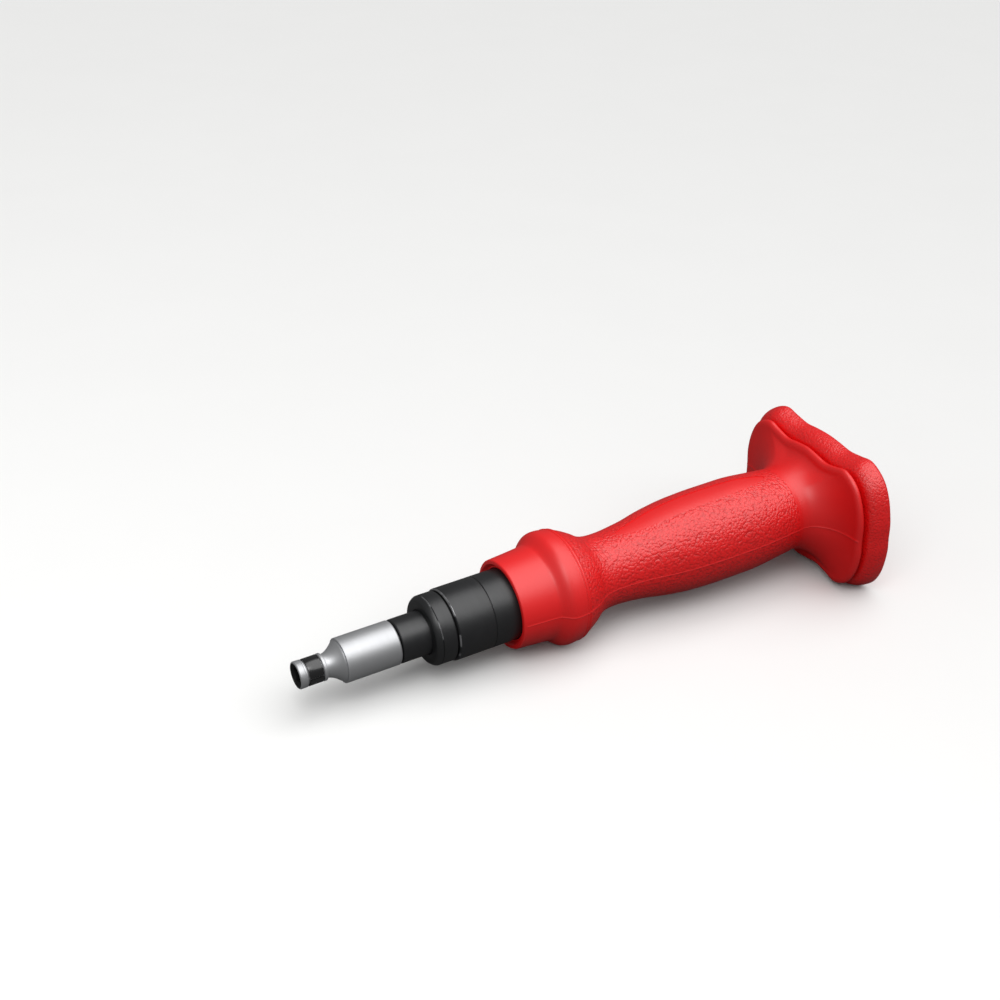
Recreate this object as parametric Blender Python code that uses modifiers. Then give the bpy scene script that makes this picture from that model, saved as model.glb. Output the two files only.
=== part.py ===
"""Hand impact driver with a soft guarded grip, built as an assembly of separate pieces.

Units are metres. The tool's axis lies along +X, from the striking face at the origin to the
bit socket. +Z is up and the guard's long side runs along Y.
"""
import math

import bmesh
import bpy
from mathutils import Matrix, Vector

MM = 0.001

# Running clearance between a piece and its neighbour
FIT = 0.3 * MM
# How far a cutter passes a face that it goes through
OVERRUN = 2.0 * MM
MERGE = 0.01 * MM

# Lengths along the axis, from the striking face to the bit
HEAD_THICKNESS = 11.0 * MM
PAD_THICKNESS = 10.7 * MM
FRONT_GUARD_THICKNESS = 4.6 * MM
FLARE_LENGTH = 13.3 * MM
GRIP_LENGTH = 169.1 * MM
SLEEVE_FLOOR = 12.0 * MM
SLEEVE_SHOWN = 29.1 * MM
COLLAR_GAP = 0.6 * MM
COLLAR_LENGTH = 9.6 * MM
NECK_SHOWN = 13.3 * MM
HOLDER_GAP = 0.7 * MM
HOLDER_LENGTH = 45.3 * MM

# Striking head and its shank
HEAD_R = 17.0 * MM
HEAD_CHAMFER = 1.5 * MM
SHANK_R = 11.0 * MM
TENON_R = 8.0 * MM
LOCK_PIN_R = 2.0 * MM

# Housing sleeve, collar and the decorative grooves turned in them
SLEEVE_WALL = 2.2 * MM
SLEEVE_CHAMFER = 0.5 * MM
SLEEVE_GROOVE_OFFSET = 18.0 * MM
COLLAR_STEP = 0.6 * MM
COLLAR_CHAMFER = 1.9 * MM
COLLAR_CHAMFER_LENGTH = 2.4 * MM
COLLAR_BACK_CHAMFER = 0.4 * MM
COLLAR_SEAT_DEPTH = 5.4 * MM
LINE_GROOVE_WIDTH = 0.5 * MM
LINE_GROOVE_DEPTH = 0.3 * MM

# Spindle with its half-inch square drive
DRIVE_SIDE = 12.7 * MM
DRIVE_LENGTH = 15.0 * MM
DRIVE_CORNER = 1.6 * MM
DRIVE_NOSE_CHAMFER = 0.8 * MM
NECK_SHOULDER = 3.55 * MM
NECK_CHAMFER = 0.4 * MM
CAM_SHOULDER = 1.1 * MM
CAM_HEAD_LENGTH = 28.2 * MM
PILOT_R = 5.0 * MM
PILOT_LENGTH = 5.0 * MM

# Cam: a cross pin in a pair of chevron windows turns the spindle as it is driven in
STROKE = 8.0 * MM
TURN = math.radians(20.0)
CAM_SLEEVE_WALL = 2.6 * MM
DRIVE_PIN_R = 2.5 * MM
DRIVE_PIN_OFFSET = 16.2 * MM
WINDOW_END_RELIEF = 0.12 * MM

# Main spring, its guide and the thrust washer
THRUST_WASHER_THICKNESS = 2.0 * MM
GUIDE_FLANGE_THICKNESS = 2.0 * MM
GUIDE_ROD_R = 6.3 * MM
GUIDE_ROD_GAP = 1.0 * MM
SPRING_LENGTH = 21.4 * MM
SPRING_WIRE_R = 1.2 * MM
SPRING_ROOM = 1.1 * MM
SPRING_END_GAP = 0.5 * MM
SPRING_ACTIVE_TURNS = 2

# Retaining ring and seals
RING_WIRE_R = 0.6 * MM
RING_OFFSET = 4.0 * MM
RING_OPENING = math.radians(24.0)
SEAL_R = 0.7 * MM
BODY_SEAL_OFFSET = 3.5 * MM
COLLAR_PIN_R = 0.8 * MM

# Bit holder
HOLDER_WALL = 3.65 * MM
HOLDER_CHAMFER = 0.6 * MM
THROAT_LENGTH = 7.3 * MM
NOSE_WALL = 1.2 * MM
NOSE_LIP = 0.9 * MM
NOSE_LIP_LENGTH = 3.4 * MM
NOSE_CHAMFER = 0.5 * MM
BAND_LENGTH = 6.4 * MM
BAND_WALL = 0.5 * MM
BAND_SPLIT = 0.8 * MM
NECK_RING_LENGTH = 1.8 * MM
HEX_SIDE_TO_SIDE = 8.0 * MM
HEX_DEPTH = 13.0 * MM
MOUTH_RIM = 0.6 * MM
MOUTH_DEPTH = 1.0 * MM
MAGNET_RIM = 0.8 * MM
MAGNET_THICKNESS = 2.2 * MM
SQUARE_SOCKET_SPARE = 1.3 * MM

# Spring-loaded balls
BIT_BALL_R = 0.9 * MM
BIT_BALL_PROUD = 0.6 * MM
BAND_HOLE_R = 0.7 * MM
DRIVE_BALL_R = 1.6 * MM
DRIVE_BALL_PROUD = 0.2 * MM
BALL_SPRING_WIRE_R = 0.25 * MM
BALL_SPRING_LENGTH = 1.95 * MM
BALL_SPRING_TURNS = 2

# Grip
LIP_WALL = 3.1 * MM
LIP_ROUNDING = 0.8 * MM
LIP_FLAT = 0.2 * MM
LIP_DISH_DEPTH = 1.8 * MM
LIP_EDGE = 0.4 * MM
BELL_STEP = 2.1 * MM
RIDGE_STEP = 4.5 * MM
WAIST_R = 16.9 * MM
PALM_R = 22.5 * MM
TAIL_R = 20.0 * MM

# Guard layers: half sizes across Y and Z, measured to the crests of the outline
FRONT_HALF_WIDTH = 43.2 * MM
FRONT_HALF_HEIGHT = 30.5 * MM
PAD_HALF_WIDTH = 47.8 * MM
PAD_HALF_HEIGHT = 33.4 * MM
RIM_ROUNDING = 1.6 * MM
FRONT_RIM_UNDERCUT = 4.0 * MM
PAD_BACK_ROUNDING = 2.5 * MM
PAD_FRONT_INSET = 5.0 * MM
# A quarter of each wavy outline, from its side to the middle of its long top, as shares of the
# half width and half height: a full side, a rounded ear, a hollow and the middle lobe
FRONT_OUTLINE_SHARES = (
    (1.0, 0.0),
    (1.0, 0.29),
    (0.945, 0.61),
    (0.835, 0.865),
    (0.655, 1.0),
    (0.5, 0.955),
    (0.33, 0.908),
    (0.165, 0.94),
    (0.0, 0.968),
)
PAD_OUTLINE_SHARES = (
    (1.0, 0.0),
    (0.998, 0.26),
    (0.945, 0.6),
    (0.84, 0.85),
    (0.66, 1.0),
    (0.5, 0.975),
    (0.335, 0.945),
    (0.165, 0.97),
    (0.0, 0.983),
)

# Facets round a large piece, a small piece and a ball
GRIP_SIDES = 64
LARGE_SIDES = 36
SMALL_SIDES = 20
COIL_POINTS = 12

# Places along the axis, worked out from the lengths
PAD_BACK_X = HEAD_THICKNESS + FIT
PAD_FRONT_X = PAD_BACK_X + PAD_THICKNESS
GRIP_BACK_X = PAD_FRONT_X + FIT
FRONT_GUARD_X = GRIP_BACK_X + FRONT_GUARD_THICKNESS
FLARE_X = FRONT_GUARD_X + FLARE_LENGTH
GRIP_FRONT_X = GRIP_BACK_X + GRIP_LENGTH
SLEEVE_FRONT_X = GRIP_FRONT_X + SLEEVE_SHOWN
COLLAR_BACK_X = SLEEVE_FRONT_X + COLLAR_GAP
COLLAR_SEAT_X = COLLAR_BACK_X + COLLAR_SEAT_DEPTH
COLLAR_FRONT_X = COLLAR_BACK_X + COLLAR_LENGTH
NECK_FRONT_X = COLLAR_FRONT_X + NECK_SHOWN
DRIVE_FRONT_X = NECK_FRONT_X + DRIVE_LENGTH
HOLDER_BACK_X = NECK_FRONT_X + HOLDER_GAP
HOLDER_FRONT_X = HOLDER_BACK_X + HOLDER_LENGTH
CAM_FRONT_X = COLLAR_SEAT_X - FIT
CAM_HEAD_BACK_X = CAM_FRONT_X - CAM_HEAD_LENGTH
CAM_SLEEVE_BACK_X = CAM_HEAD_BACK_X - STROKE - THRUST_WASHER_THICKNESS
DRIVE_PIN_X = CAM_FRONT_X - DRIVE_PIN_OFFSET
THRUST_FRONT_X = CAM_HEAD_BACK_X - FIT
THRUST_BACK_X = THRUST_FRONT_X - THRUST_WASHER_THICKNESS
GUIDE_FRONT_X = THRUST_BACK_X - SPRING_LENGTH
GUIDE_BACK_X = GUIDE_FRONT_X - GUIDE_FLANGE_THICKNESS
SLEEVE_FLOOR_X = GUIDE_BACK_X - FIT
SLEEVE_BACK_X = SLEEVE_FLOOR_X - SLEEVE_FLOOR
RING_X = CAM_SLEEVE_BACK_X + RING_OFFSET
BODY_SEAL_X = SLEEVE_FRONT_X - BODY_SEAL_OFFSET
NECK_SEAL_X = (COLLAR_SEAT_X + COLLAR_FRONT_X) / 2

# Radii, worked out from the square drive outwards
NECK_R = DRIVE_SIDE / 2 + NECK_SHOULDER
CAM_HEAD_R = NECK_R + CAM_SHOULDER
CAM_BORE_R = CAM_HEAD_R + FIT
CAM_SLEEVE_R = CAM_BORE_R + CAM_SLEEVE_WALL
SLEEVE_BORE_R = CAM_SLEEVE_R + FIT
SLEEVE_R = SLEEVE_BORE_R + SLEEVE_WALL
COLLAR_R = SLEEVE_R - COLLAR_STEP
COLLAR_BORE_R = NECK_R + FIT
RING_MEAN_R = (SLEEVE_BORE_R + CAM_SLEEVE_R) / 2
SPRING_MEAN_R = GUIDE_ROD_R + SPRING_ROOM + SPRING_WIRE_R
GRIP_FRONT_BORE_R = SLEEVE_R + FIT
GRIP_BACK_BORE_R = SHANK_R + FIT
LIP_R = GRIP_FRONT_BORE_R + LIP_WALL
BELL_R = LIP_R + BELL_STEP
RIDGE_R = BELL_R + RIDGE_STEP
HOLDER_R = DRIVE_SIDE / 2 + HOLDER_WALL
THROAT_R = HEX_SIDE_TO_SIDE / 2 + NOSE_WALL
NOSE_R = THROAT_R + NOSE_LIP
BAND_INNER_R = THROAT_R + FIT
MAGNET_R = HEX_SIDE_TO_SIDE / 2 - MAGNET_RIM


def new_collection(name):
    collection = bpy.data.collections.new(name)
    bpy.context.scene.collection.children.link(collection)
    return collection


for leftover in list(bpy.data.objects):
    bpy.data.objects.remove(leftover, do_unlink=True)
DRIVER = new_collection("hand_impact_driver")
CUTTERS = new_collection("cutters")


def material(name, finish):
    colour, metallic, roughness = finish
    made = bpy.data.materials.new(name)
    made.use_nodes = True
    shader = made.node_tree.nodes["Principled BSDF"]
    shader.inputs["Base Color"].default_value = (*colour, 1.0)
    shader.inputs["Metallic"].default_value = metallic
    shader.inputs["Roughness"].default_value = roughness
    made.diffuse_color = (*colour, 1.0)
    return made


def link(obj, finish=None):
    """Puts a piece in the driver's collection, or a cutter, which has no finish, in the other."""
    for collection in list(obj.users_collection):
        collection.objects.unlink(obj)
    if finish:
        DRIVER.objects.link(obj)
        obj.data.materials.clear()
        obj.data.materials.append(material(obj.name + "_finish", finish))
    else:
        CUTTERS.objects.link(obj)
        obj.hide_render = True
        obj.display_type = "WIRE"
    return obj


def object_from(name, bm):
    mesh = bpy.data.meshes.new(name)
    bm.to_mesh(mesh)
    bm.free()
    obj = bpy.data.objects.new(name, mesh)
    bpy.context.scene.collection.objects.link(obj)
    return obj


def turned(name, profile, finish=None, closed=False, sides=LARGE_SIDES):
    """Turns (x, radius) points, listed from the bit end down the outer side, about the X axis."""
    bm = bmesh.new()
    points = [bm.verts.new((x, radius, 0)) for x, radius in profile]
    for start, end in zip(points, points[1:]):
        bm.edges.new((start, end))
    if closed:
        bm.edges.new((points[-1], points[0]))
    obj = object_from(name, bm)
    screw = obj.modifiers.new("turn", "SCREW")
    screw.axis = "X"
    screw.angle = math.tau
    screw.steps = sides
    screw.render_steps = sides
    screw.use_merge_vertices = True
    screw.merge_threshold = MERGE
    return link(obj, finish)


def cylinder(name, start, end, radius, finish=None, sides=SMALL_SIDES):
    """A round bar between two points."""
    along = Vector(end) - Vector(start)
    bm = bmesh.new()
    bmesh.ops.create_cone(
        bm, cap_ends=True, segments=sides, radius1=radius, radius2=radius, depth=along.length
    )
    turn = along.to_track_quat("Z", "Y").to_matrix().to_4x4()
    half_facet = Matrix.Rotation(math.pi / sides, 4, "Z")
    middle = (Vector(start) + Vector(end)) / 2
    place = Matrix.Translation(middle) @ turn @ half_facet
    bmesh.ops.transform(bm, matrix=place, verts=bm.verts)
    return link(object_from(name, bm), finish)


def ball(name, centre, radius, finish):
    bm = bmesh.new()
    bmesh.ops.create_uvsphere(bm, u_segments=16, v_segments=10, radius=radius)
    obj = object_from(name, bm)
    obj.location = centre
    return link(obj, finish)


def loft(name, rings, finish=None):
    """Skins a row of rings, each with the same count of points, and closes both ends."""
    bm = bmesh.new()
    rows = [[bm.verts.new(point) for point in ring] for ring in rings]
    for row, following in zip(rows, rows[1:]):
        for i in range(len(row)):
            j = (i + 1) % len(row)
            bm.faces.new((row[i], row[j], following[j], following[i]))
    bm.faces.new(list(reversed(rows[0])))
    bm.faces.new(rows[-1])
    bmesh.ops.recalc_face_normals(bm, faces=bm.faces)
    return link(object_from(name, bm), finish)


def torus(name, x, mean_radius, section_radius, finish):
    bpy.ops.mesh.primitive_torus_add(
        major_radius=mean_radius,
        minor_radius=section_radius,
        major_segments=LARGE_SIDES,
        minor_segments=6,
        location=(x, 0, 0),
        rotation=(0, math.pi / 2, 0),
    )
    obj = bpy.context.object
    obj.name = name
    return link(obj, finish)


def wire(name, points, radius, finish):
    """A round wire along a row of points, made a closed mesh."""
    curve = bpy.data.curves.new(name, "CURVE")
    curve.dimensions = "3D"
    curve.bevel_depth = radius
    curve.bevel_resolution = 2
    curve.use_fill_caps = True
    spline = curve.splines.new("POLY")
    spline.points.add(len(points) - 1)
    for spot, point in zip(spline.points, points):
        spot.co = (*point, 1.0)
    guide = bpy.data.objects.new(name + "_path", curve)
    bpy.context.scene.collection.objects.link(guide)
    depsgraph = bpy.context.evaluated_depsgraph_get()
    mesh = bpy.data.meshes.new_from_object(guide.evaluated_get(depsgraph))
    bpy.data.objects.remove(guide)
    bm = bmesh.new()
    bm.from_mesh(mesh)
    bmesh.ops.remove_doubles(bm, verts=bm.verts, dist=MERGE)
    bmesh.ops.recalc_face_normals(bm, faces=bm.faces)
    bm.to_mesh(mesh)
    bm.free()
    obj = bpy.data.objects.new(name, mesh)
    bpy.context.scene.collection.objects.link(obj)
    return link(obj, finish)


def boolean(target, tool, operation):
    step = target.modifiers.new(operation.lower(), "BOOLEAN")
    step.operation = operation
    step.solver = "EXACT"
    step.object = tool
    if tool.name in DRIVER.objects:
        DRIVER.objects.unlink(tool)
        CUTTERS.objects.link(tool)
    tool.hide_render = True
    tool.display_type = "WIRE"


def cut(target, *tools):
    for tool in tools:
        boolean(target, tool, "DIFFERENCE")


def join(target, *tools):
    for tool in tools:
        boolean(target, tool, "UNION")


def settle(obj, sharp_angle=math.radians(32)):
    """Fixes the modifiers' result as the piece's own mesh and shades it smooth between edges."""
    depsgraph = bpy.context.evaluated_depsgraph_get()
    mesh = bpy.data.meshes.new_from_object(obj.evaluated_get(depsgraph))
    mesh.name = obj.name
    bm = bmesh.new()
    bm.from_mesh(mesh)
    bmesh.ops.remove_doubles(bm, verts=bm.verts, dist=MERGE)
    bm.to_mesh(mesh)
    bm.free()
    obj.modifiers.clear()
    obj.data = mesh
    mesh.shade_smooth()
    mesh.set_sharp_from_angle(angle=sharp_angle)
    return obj


def rounded_bar(name, start_x, end_x, side, corner, finish=None):
    """A square bar along X with rounded long edges."""
    bm = bmesh.new()
    bmesh.ops.create_cube(bm, size=1)
    size = Matrix.Diagonal((end_x - start_x, side, side, 1))
    place = Matrix.Translation(((start_x + end_x) / 2, 0, 0))
    bmesh.ops.transform(bm, matrix=place @ size, verts=bm.verts)
    long_edges = [
        edge for edge in bm.edges if abs(edge.verts[0].co.x - edge.verts[1].co.x) > side / 2
    ]
    bmesh.ops.bevel(bm, geom=long_edges, offset=corner, segments=3, profile=0.5, affect="EDGES")
    return link(object_from(name, bm), finish)


def helix(x, radius, angle):
    return Vector((x, radius * math.cos(angle), radius * math.sin(angle)))


def smooth_row(points, steps):
    """Points of a cubic curve through (x, radius) points, with slopes that never overshoot."""
    slopes = []
    for before, after in zip(points, points[1:]):
        slopes.append((after[1] - before[1]) / (after[0] - before[0]))
    tangents = [slopes[0]]
    for left, right in zip(slopes, slopes[1:]):
        if left * right <= 0:
            tangents.append(0)
        else:
            tangents.append(2 * left * right / (left + right))
    tangents.append(slopes[-1])
    row = []
    for i in range(len(points) - 1):
        (x0, y0), (x1, y1) = points[i], points[i + 1]
        width = x1 - x0
        for step in range(steps):
            t = step / steps
            row.append(
                (
                    x0 + t * width,
                    (1 + 2 * t) * (1 - t) ** 2 * y0
                    + t * (1 - t) ** 2 * width * tangents[i]
                    + t * t * (3 - 2 * t) * y1
                    + t * t * (t - 1) * width * tangents[i + 1],
                )
            )
    row.append(points[-1])
    return row


def guard_outline(outline_shares, half_width, half_height):
    """The guard's closed outline, as evenly spaced (y, z) points on a curve through its shares."""
    quarter = [(half_width * y, half_height * z) for y, z in outline_shares]
    top = quarter + [(-y, z) for y, z in reversed(quarter[:-1])]
    whole = top + [(y, -z) for y, z in reversed(top[1:-1])]
    fine = []
    count = len(whole)
    steps = 8
    for i in range(count):
        before, start, end, after = (Vector(whole[(i + k - 1) % count]) for k in range(4))
        for step in range(steps):
            t = step / steps
            fine.append(
                (
                    2 * start
                    + (end - before) * t
                    + (2 * before - 5 * start + 4 * end - after) * t * t
                    + (3 * start - before - 3 * end + after) * t**3
                )
                / 2
            )
    lengths = [0.0]
    for start, end in zip(fine, fine[1:] + fine[:1]):
        lengths.append(lengths[-1] + (end - start).length)
    outline = []
    spot = 0
    for i in range(GRIP_SIDES):
        target = lengths[-1] * i / GRIP_SIDES
        while lengths[spot + 1] < target:
            spot += 1
        share = (target - lengths[spot]) / (lengths[spot + 1] - lengths[spot])
        outline.append(fine[spot].lerp(fine[(spot + 1) % len(fine)], share))
    return outline


def guard_ring(x, outline, inset):
    """An outline of the guard at one place on the axis, drawn in by an even inset."""
    ring = []
    for i, point in enumerate(outline):
        along = outline[(i + 1) % len(outline)] - outline[i - 1]
        outward = Vector((along.y, -along.x)).normalized()
        y, z = point - outward * inset
        ring.append(Vector((x, y, z)))
    return ring


def round_ring(x, radius):
    return [
        Vector((x, radius * math.cos(a), radius * math.sin(a)))
        for a in (math.tau * i / GRIP_SIDES for i in range(GRIP_SIDES))
    ]


def spring_path(start_x, end_x, mean_radius, wire_radius, end_gap, active_turns):
    """A compression spring's centre line: one close turn at each end, open turns between."""
    close_pitch = 2 * wire_radius + end_gap
    open_length = (end_x - start_x) - 2 * close_pitch
    total_turns = active_turns + 2
    points = []
    for i in range(COIL_POINTS * total_turns + 1):
        turns = i / COIL_POINTS
        closed_part = min(turns, 1) + max(0, turns - 1 - active_turns)
        open_part = max(0, min(turns - 1, active_turns))
        x = start_x + closed_part * close_pitch + open_part * open_length / active_turns
        points.append(helix(x, mean_radius, math.tau * turns))
    return points


def least_turn_gap(points, wire_radius):
    """The least free gap between a coil's wire and itself, half a turn or more further on."""
    least = math.inf
    for i, point in enumerate(points):
        for other in points[i + COIL_POINTS // 2 :]:
            least = min(least, (point - other).length - 2 * wire_radius)
    return least


# Finishes: linear colour, metallic, roughness
STEEL_BLACK = ((0.018, 0.018, 0.02), 0.9, 0.38)
STEEL_DARK = ((0.09, 0.09, 0.1), 1.0, 0.35)
STEEL_BRIGHT = ((0.55, 0.56, 0.58), 1.0, 0.25)
CHROME = ((0.62, 0.63, 0.65), 1.0, 0.16)
SPRING_STEEL = ((0.2, 0.2, 0.22), 1.0, 0.3)
BAND_BLACK = ((0.01, 0.01, 0.012), 0.5, 0.12)
SEAL_RUBBER = ((0.02, 0.02, 0.02), 0.0, 0.7)
MAGNET_GREY = ((0.25, 0.25, 0.26), 1.0, 0.4)
GRIP_RED = ((0.68, 0.012, 0.018), 0.0, 0.42)


def build_striking_head():
    tenon_x = SLEEVE_FLOOR_X
    head = turned(
        "striking_head",
        [
            (tenon_x, 0),
            (tenon_x, TENON_R),
            (SLEEVE_BACK_X - FIT, TENON_R),
            (SLEEVE_BACK_X - FIT, SHANK_R),
            (HEAD_THICKNESS, SHANK_R),
            (HEAD_THICKNESS, HEAD_R),
            (HEAD_CHAMFER, HEAD_R),
            (0, HEAD_R - HEAD_CHAMFER),
            (0, 0),
        ],
        STEEL_DARK,
    )
    cut(head, lock_pin_hole("lock_pin_hole_in_tenon"))
    settle(head)


def lock_pin_x():
    return (SLEEVE_BACK_X + SLEEVE_FLOOR_X) / 2


def lock_pin_hole(name):
    reach = SLEEVE_R + OVERRUN
    return cylinder(name, (lock_pin_x(), -reach, 0), (lock_pin_x(), reach, 0), LOCK_PIN_R + FIT)


def build_lock_pin():
    half = math.sqrt(SLEEVE_R**2 - LOCK_PIN_R**2) - FIT
    settle(
        cylinder(
            "lock_pin", (lock_pin_x(), -half, 0), (lock_pin_x(), half, 0), LOCK_PIN_R, STEEL_BRIGHT
        )
    )


def build_guard_pad():
    """The pebbled rear layer of the guard, with a full, rounded rim."""
    crest_x = PAD_BACK_X + PAD_BACK_ROUNDING
    rounding_steps = 4
    profile = []
    for i in range(rounding_steps + 1):
        lean = math.pi / 2 * i / rounding_steps
        profile.append(
            (crest_x - PAD_BACK_ROUNDING * math.cos(lean), PAD_BACK_ROUNDING * (1 - math.sin(lean)))
        )
    for i in range(1, rounding_steps + 1):
        lean = math.pi / 2 * i / rounding_steps
        profile.append(
            (
                crest_x + (PAD_FRONT_X - crest_x) * math.sin(lean),
                PAD_FRONT_INSET * (1 - math.cos(lean)),
            )
        )
    outline = guard_outline(PAD_OUTLINE_SHARES, PAD_HALF_WIDTH, PAD_HALF_HEIGHT)
    rings = [guard_ring(x, outline, inset) for x, inset in profile]
    pad = loft("guard_pad", rings, GRIP_RED)
    bore = turned(
        "guard_pad_bore",
        [
            (PAD_FRONT_X + OVERRUN, 0),
            (PAD_FRONT_X + OVERRUN, GRIP_BACK_BORE_R),
            (PAD_BACK_X - OVERRUN, GRIP_BACK_BORE_R),
            (PAD_BACK_X - OVERRUN, 0),
        ],
    )
    cut(pad, bore)
    settle(pad)


def grip_profile():
    """The round part of the grip, as (x, radius) from the flare to the lip at the sleeve."""
    handle = GRIP_FRONT_X - FLARE_X
    ridge_rise = RIDGE_R - WAIST_R
    step = RIDGE_R - BELL_R
    # Each row: distance from the flare as a share of the handle, then the radius there
    shares = [
        (0.0, TAIL_R),
        (0.053, TAIL_R + (PALM_R - TAIL_R) * 0.35),
        (0.185, PALM_R),
        (0.278, PALM_R),
        (0.371, PALM_R - (PALM_R - WAIST_R) * 0.08),
        (0.464, PALM_R - (PALM_R - WAIST_R) * 0.35),
        (0.557, PALM_R - (PALM_R - WAIST_R) * 0.79),
        (0.650, WAIST_R),
        (0.690, WAIST_R),
        (0.716, WAIST_R + ridge_rise * 0.18),
        (0.743, WAIST_R + ridge_rise * 0.48),
        (0.776, WAIST_R + ridge_rise * 0.77),
        (0.796, WAIST_R + ridge_rise * 0.90),
        (0.826, RIDGE_R),
        (0.847, RIDGE_R - step * 0.09),
        (0.862, RIDGE_R - step * 0.29),
        (0.874, BELL_R + step * 0.42),
        (0.881, BELL_R + step * 0.16),
        (0.888, BELL_R + step * 0.04),
        (0.898, BELL_R),
    ]
    profile = [(FLARE_X + handle * share, radius) for share, radius in shares]
    profile.append((GRIP_FRONT_X - LIP_ROUNDING, LIP_R + LIP_ROUNDING))
    return profile


def build_hand_grip():
    """The moulded grip: its section turns from a circle into the front guard's wavy outline."""
    rim_profile = [(GRIP_BACK_X, FRONT_RIM_UNDERCUT)]
    crest_x = FRONT_GUARD_X - RIM_ROUNDING
    edge_steps = 5
    for i in range(edge_steps + 1):
        lean = -math.pi / 3 + 5 * math.pi / 6 * i / edge_steps
        rim_profile.append(
            (crest_x + RIM_ROUNDING * math.sin(lean), RIM_ROUNDING * (1 - math.cos(lean)))
        )
    outline = guard_outline(FRONT_OUTLINE_SHARES, FRONT_HALF_WIDTH, FRONT_HALF_HEIGHT)
    rings = [guard_ring(x, outline, inset) for x, inset in rim_profile]
    rim = rings[-1]
    flare_steps = 9
    for i in range(1, flare_steps):
        lean = math.pi / 2 * i / flare_steps
        share = 1 - math.sin(lean)
        x = FRONT_GUARD_X + FLARE_LENGTH * (1 - math.cos(lean))
        circle = round_ring(x, TAIL_R)
        rings.append([a.lerp(Vector((x, b.y, b.z)), share) for a, b in zip(circle, rim)])
    for x, radius in smooth_row(grip_profile(), 2):
        rings.append(round_ring(x, radius))
    for i in range(1, 4):
        lean = math.pi / 2 * i / 3
        x = GRIP_FRONT_X - LIP_ROUNDING * (1 - math.sin(lean))
        rings.append(round_ring(x, LIP_R + LIP_ROUNDING * math.cos(lean)))
    grip = loft("hand_grip", rings, GRIP_RED)
    step_x = SLEEVE_BACK_X - FIT
    dish_x = GRIP_FRONT_X - LIP_DISH_DEPTH
    dish_r = GRIP_FRONT_BORE_R + LIP_EDGE
    dish_slope = (LIP_R - LIP_FLAT - dish_r) / LIP_DISH_DEPTH
    bore = turned(
        "grip_bore",
        [
            (GRIP_FRONT_X + OVERRUN, 0),
            (GRIP_FRONT_X + OVERRUN, dish_r + (LIP_DISH_DEPTH + OVERRUN) * dish_slope),
            (dish_x, dish_r),
            (dish_x, GRIP_FRONT_BORE_R),
            (step_x, GRIP_FRONT_BORE_R),
            (step_x, GRIP_BACK_BORE_R),
            (GRIP_BACK_X - OVERRUN, GRIP_BACK_BORE_R),
            (GRIP_BACK_X - OVERRUN, 0),
        ],
    )
    cut(grip, bore)
    settle(grip, math.radians(50))


def build_housing_sleeve():
    groove_x = SLEEVE_FRONT_X - SLEEVE_GROOVE_OFFSET
    ring_r = RING_MEAN_R + RING_WIRE_R + FIT
    ring_half = RING_WIRE_R + FIT
    tenon_bore_r = TENON_R + FIT
    sleeve = turned(
        "housing_sleeve",
        [
            (SLEEVE_FRONT_X, SLEEVE_R - SLEEVE_CHAMFER),
            (SLEEVE_FRONT_X - SLEEVE_CHAMFER, SLEEVE_R),
            (groove_x + LINE_GROOVE_WIDTH / 2, SLEEVE_R),
            (groove_x, SLEEVE_R - LINE_GROOVE_DEPTH),
            (groove_x - LINE_GROOVE_WIDTH / 2, SLEEVE_R),
            (SLEEVE_BACK_X, SLEEVE_R),
            (SLEEVE_BACK_X, tenon_bore_r),
            (SLEEVE_FLOOR_X, tenon_bore_r),
            (SLEEVE_FLOOR_X, SLEEVE_BORE_R),
            (RING_X - ring_half, SLEEVE_BORE_R),
            (RING_X - ring_half, ring_r),
            (RING_X + ring_half, ring_r),
            (RING_X + ring_half, SLEEVE_BORE_R),
            (SLEEVE_FRONT_X, SLEEVE_BORE_R),
        ],
        STEEL_BLACK,
        closed=True,
    )
    cut(sleeve, lock_pin_hole("lock_pin_hole_in_sleeve"))
    settle(sleeve)


def build_spring_guide():
    """Rear seat of the main spring, with a short rod that keeps the coils in line."""
    rod_x = CAM_HEAD_BACK_X - PILOT_LENGTH - STROKE - GUIDE_ROD_GAP
    settle(
        turned(
            "spring_guide",
            [
                (rod_x, 0),
                (rod_x, GUIDE_ROD_R),
                (GUIDE_FRONT_X, GUIDE_ROD_R),
                (GUIDE_FRONT_X, SLEEVE_BORE_R - FIT),
                (GUIDE_BACK_X, SLEEVE_BORE_R - FIT),
                (GUIDE_BACK_X, 0),
            ],
            STEEL_BRIGHT,
        )
    )


def build_main_spring():
    seat = SPRING_WIRE_R + FIT
    path = spring_path(
        GUIDE_FRONT_X + seat,
        THRUST_BACK_X - seat,
        SPRING_MEAN_R,
        SPRING_WIRE_R,
        SPRING_END_GAP,
        SPRING_ACTIVE_TURNS,
    )
    print("main_spring least gap to itself, mm:", least_turn_gap(path, SPRING_WIRE_R) / MM)
    settle(wire("main_spring", path, SPRING_WIRE_R, SPRING_STEEL))


def build_thrust_washer():
    outer_r = CAM_BORE_R - FIT
    settle(
        turned(
            "thrust_washer",
            [
                (THRUST_FRONT_X, outer_r),
                (THRUST_BACK_X, outer_r),
                (THRUST_BACK_X, PILOT_R + FIT),
                (THRUST_FRONT_X, PILOT_R + FIT),
            ],
            STEEL_BRIGHT,
            closed=True,
        )
    )


def build_retaining_ring():
    """A split wire ring, half in the sleeve's groove and half in the cam sleeve's."""
    sweep = math.tau - RING_OPENING
    points = [
        helix(RING_X, RING_MEAN_R, RING_OPENING / 2 + sweep * i / 30) for i in range(31)
    ]
    settle(wire("retaining_ring", points, RING_WIRE_R, SPRING_STEEL))


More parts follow.
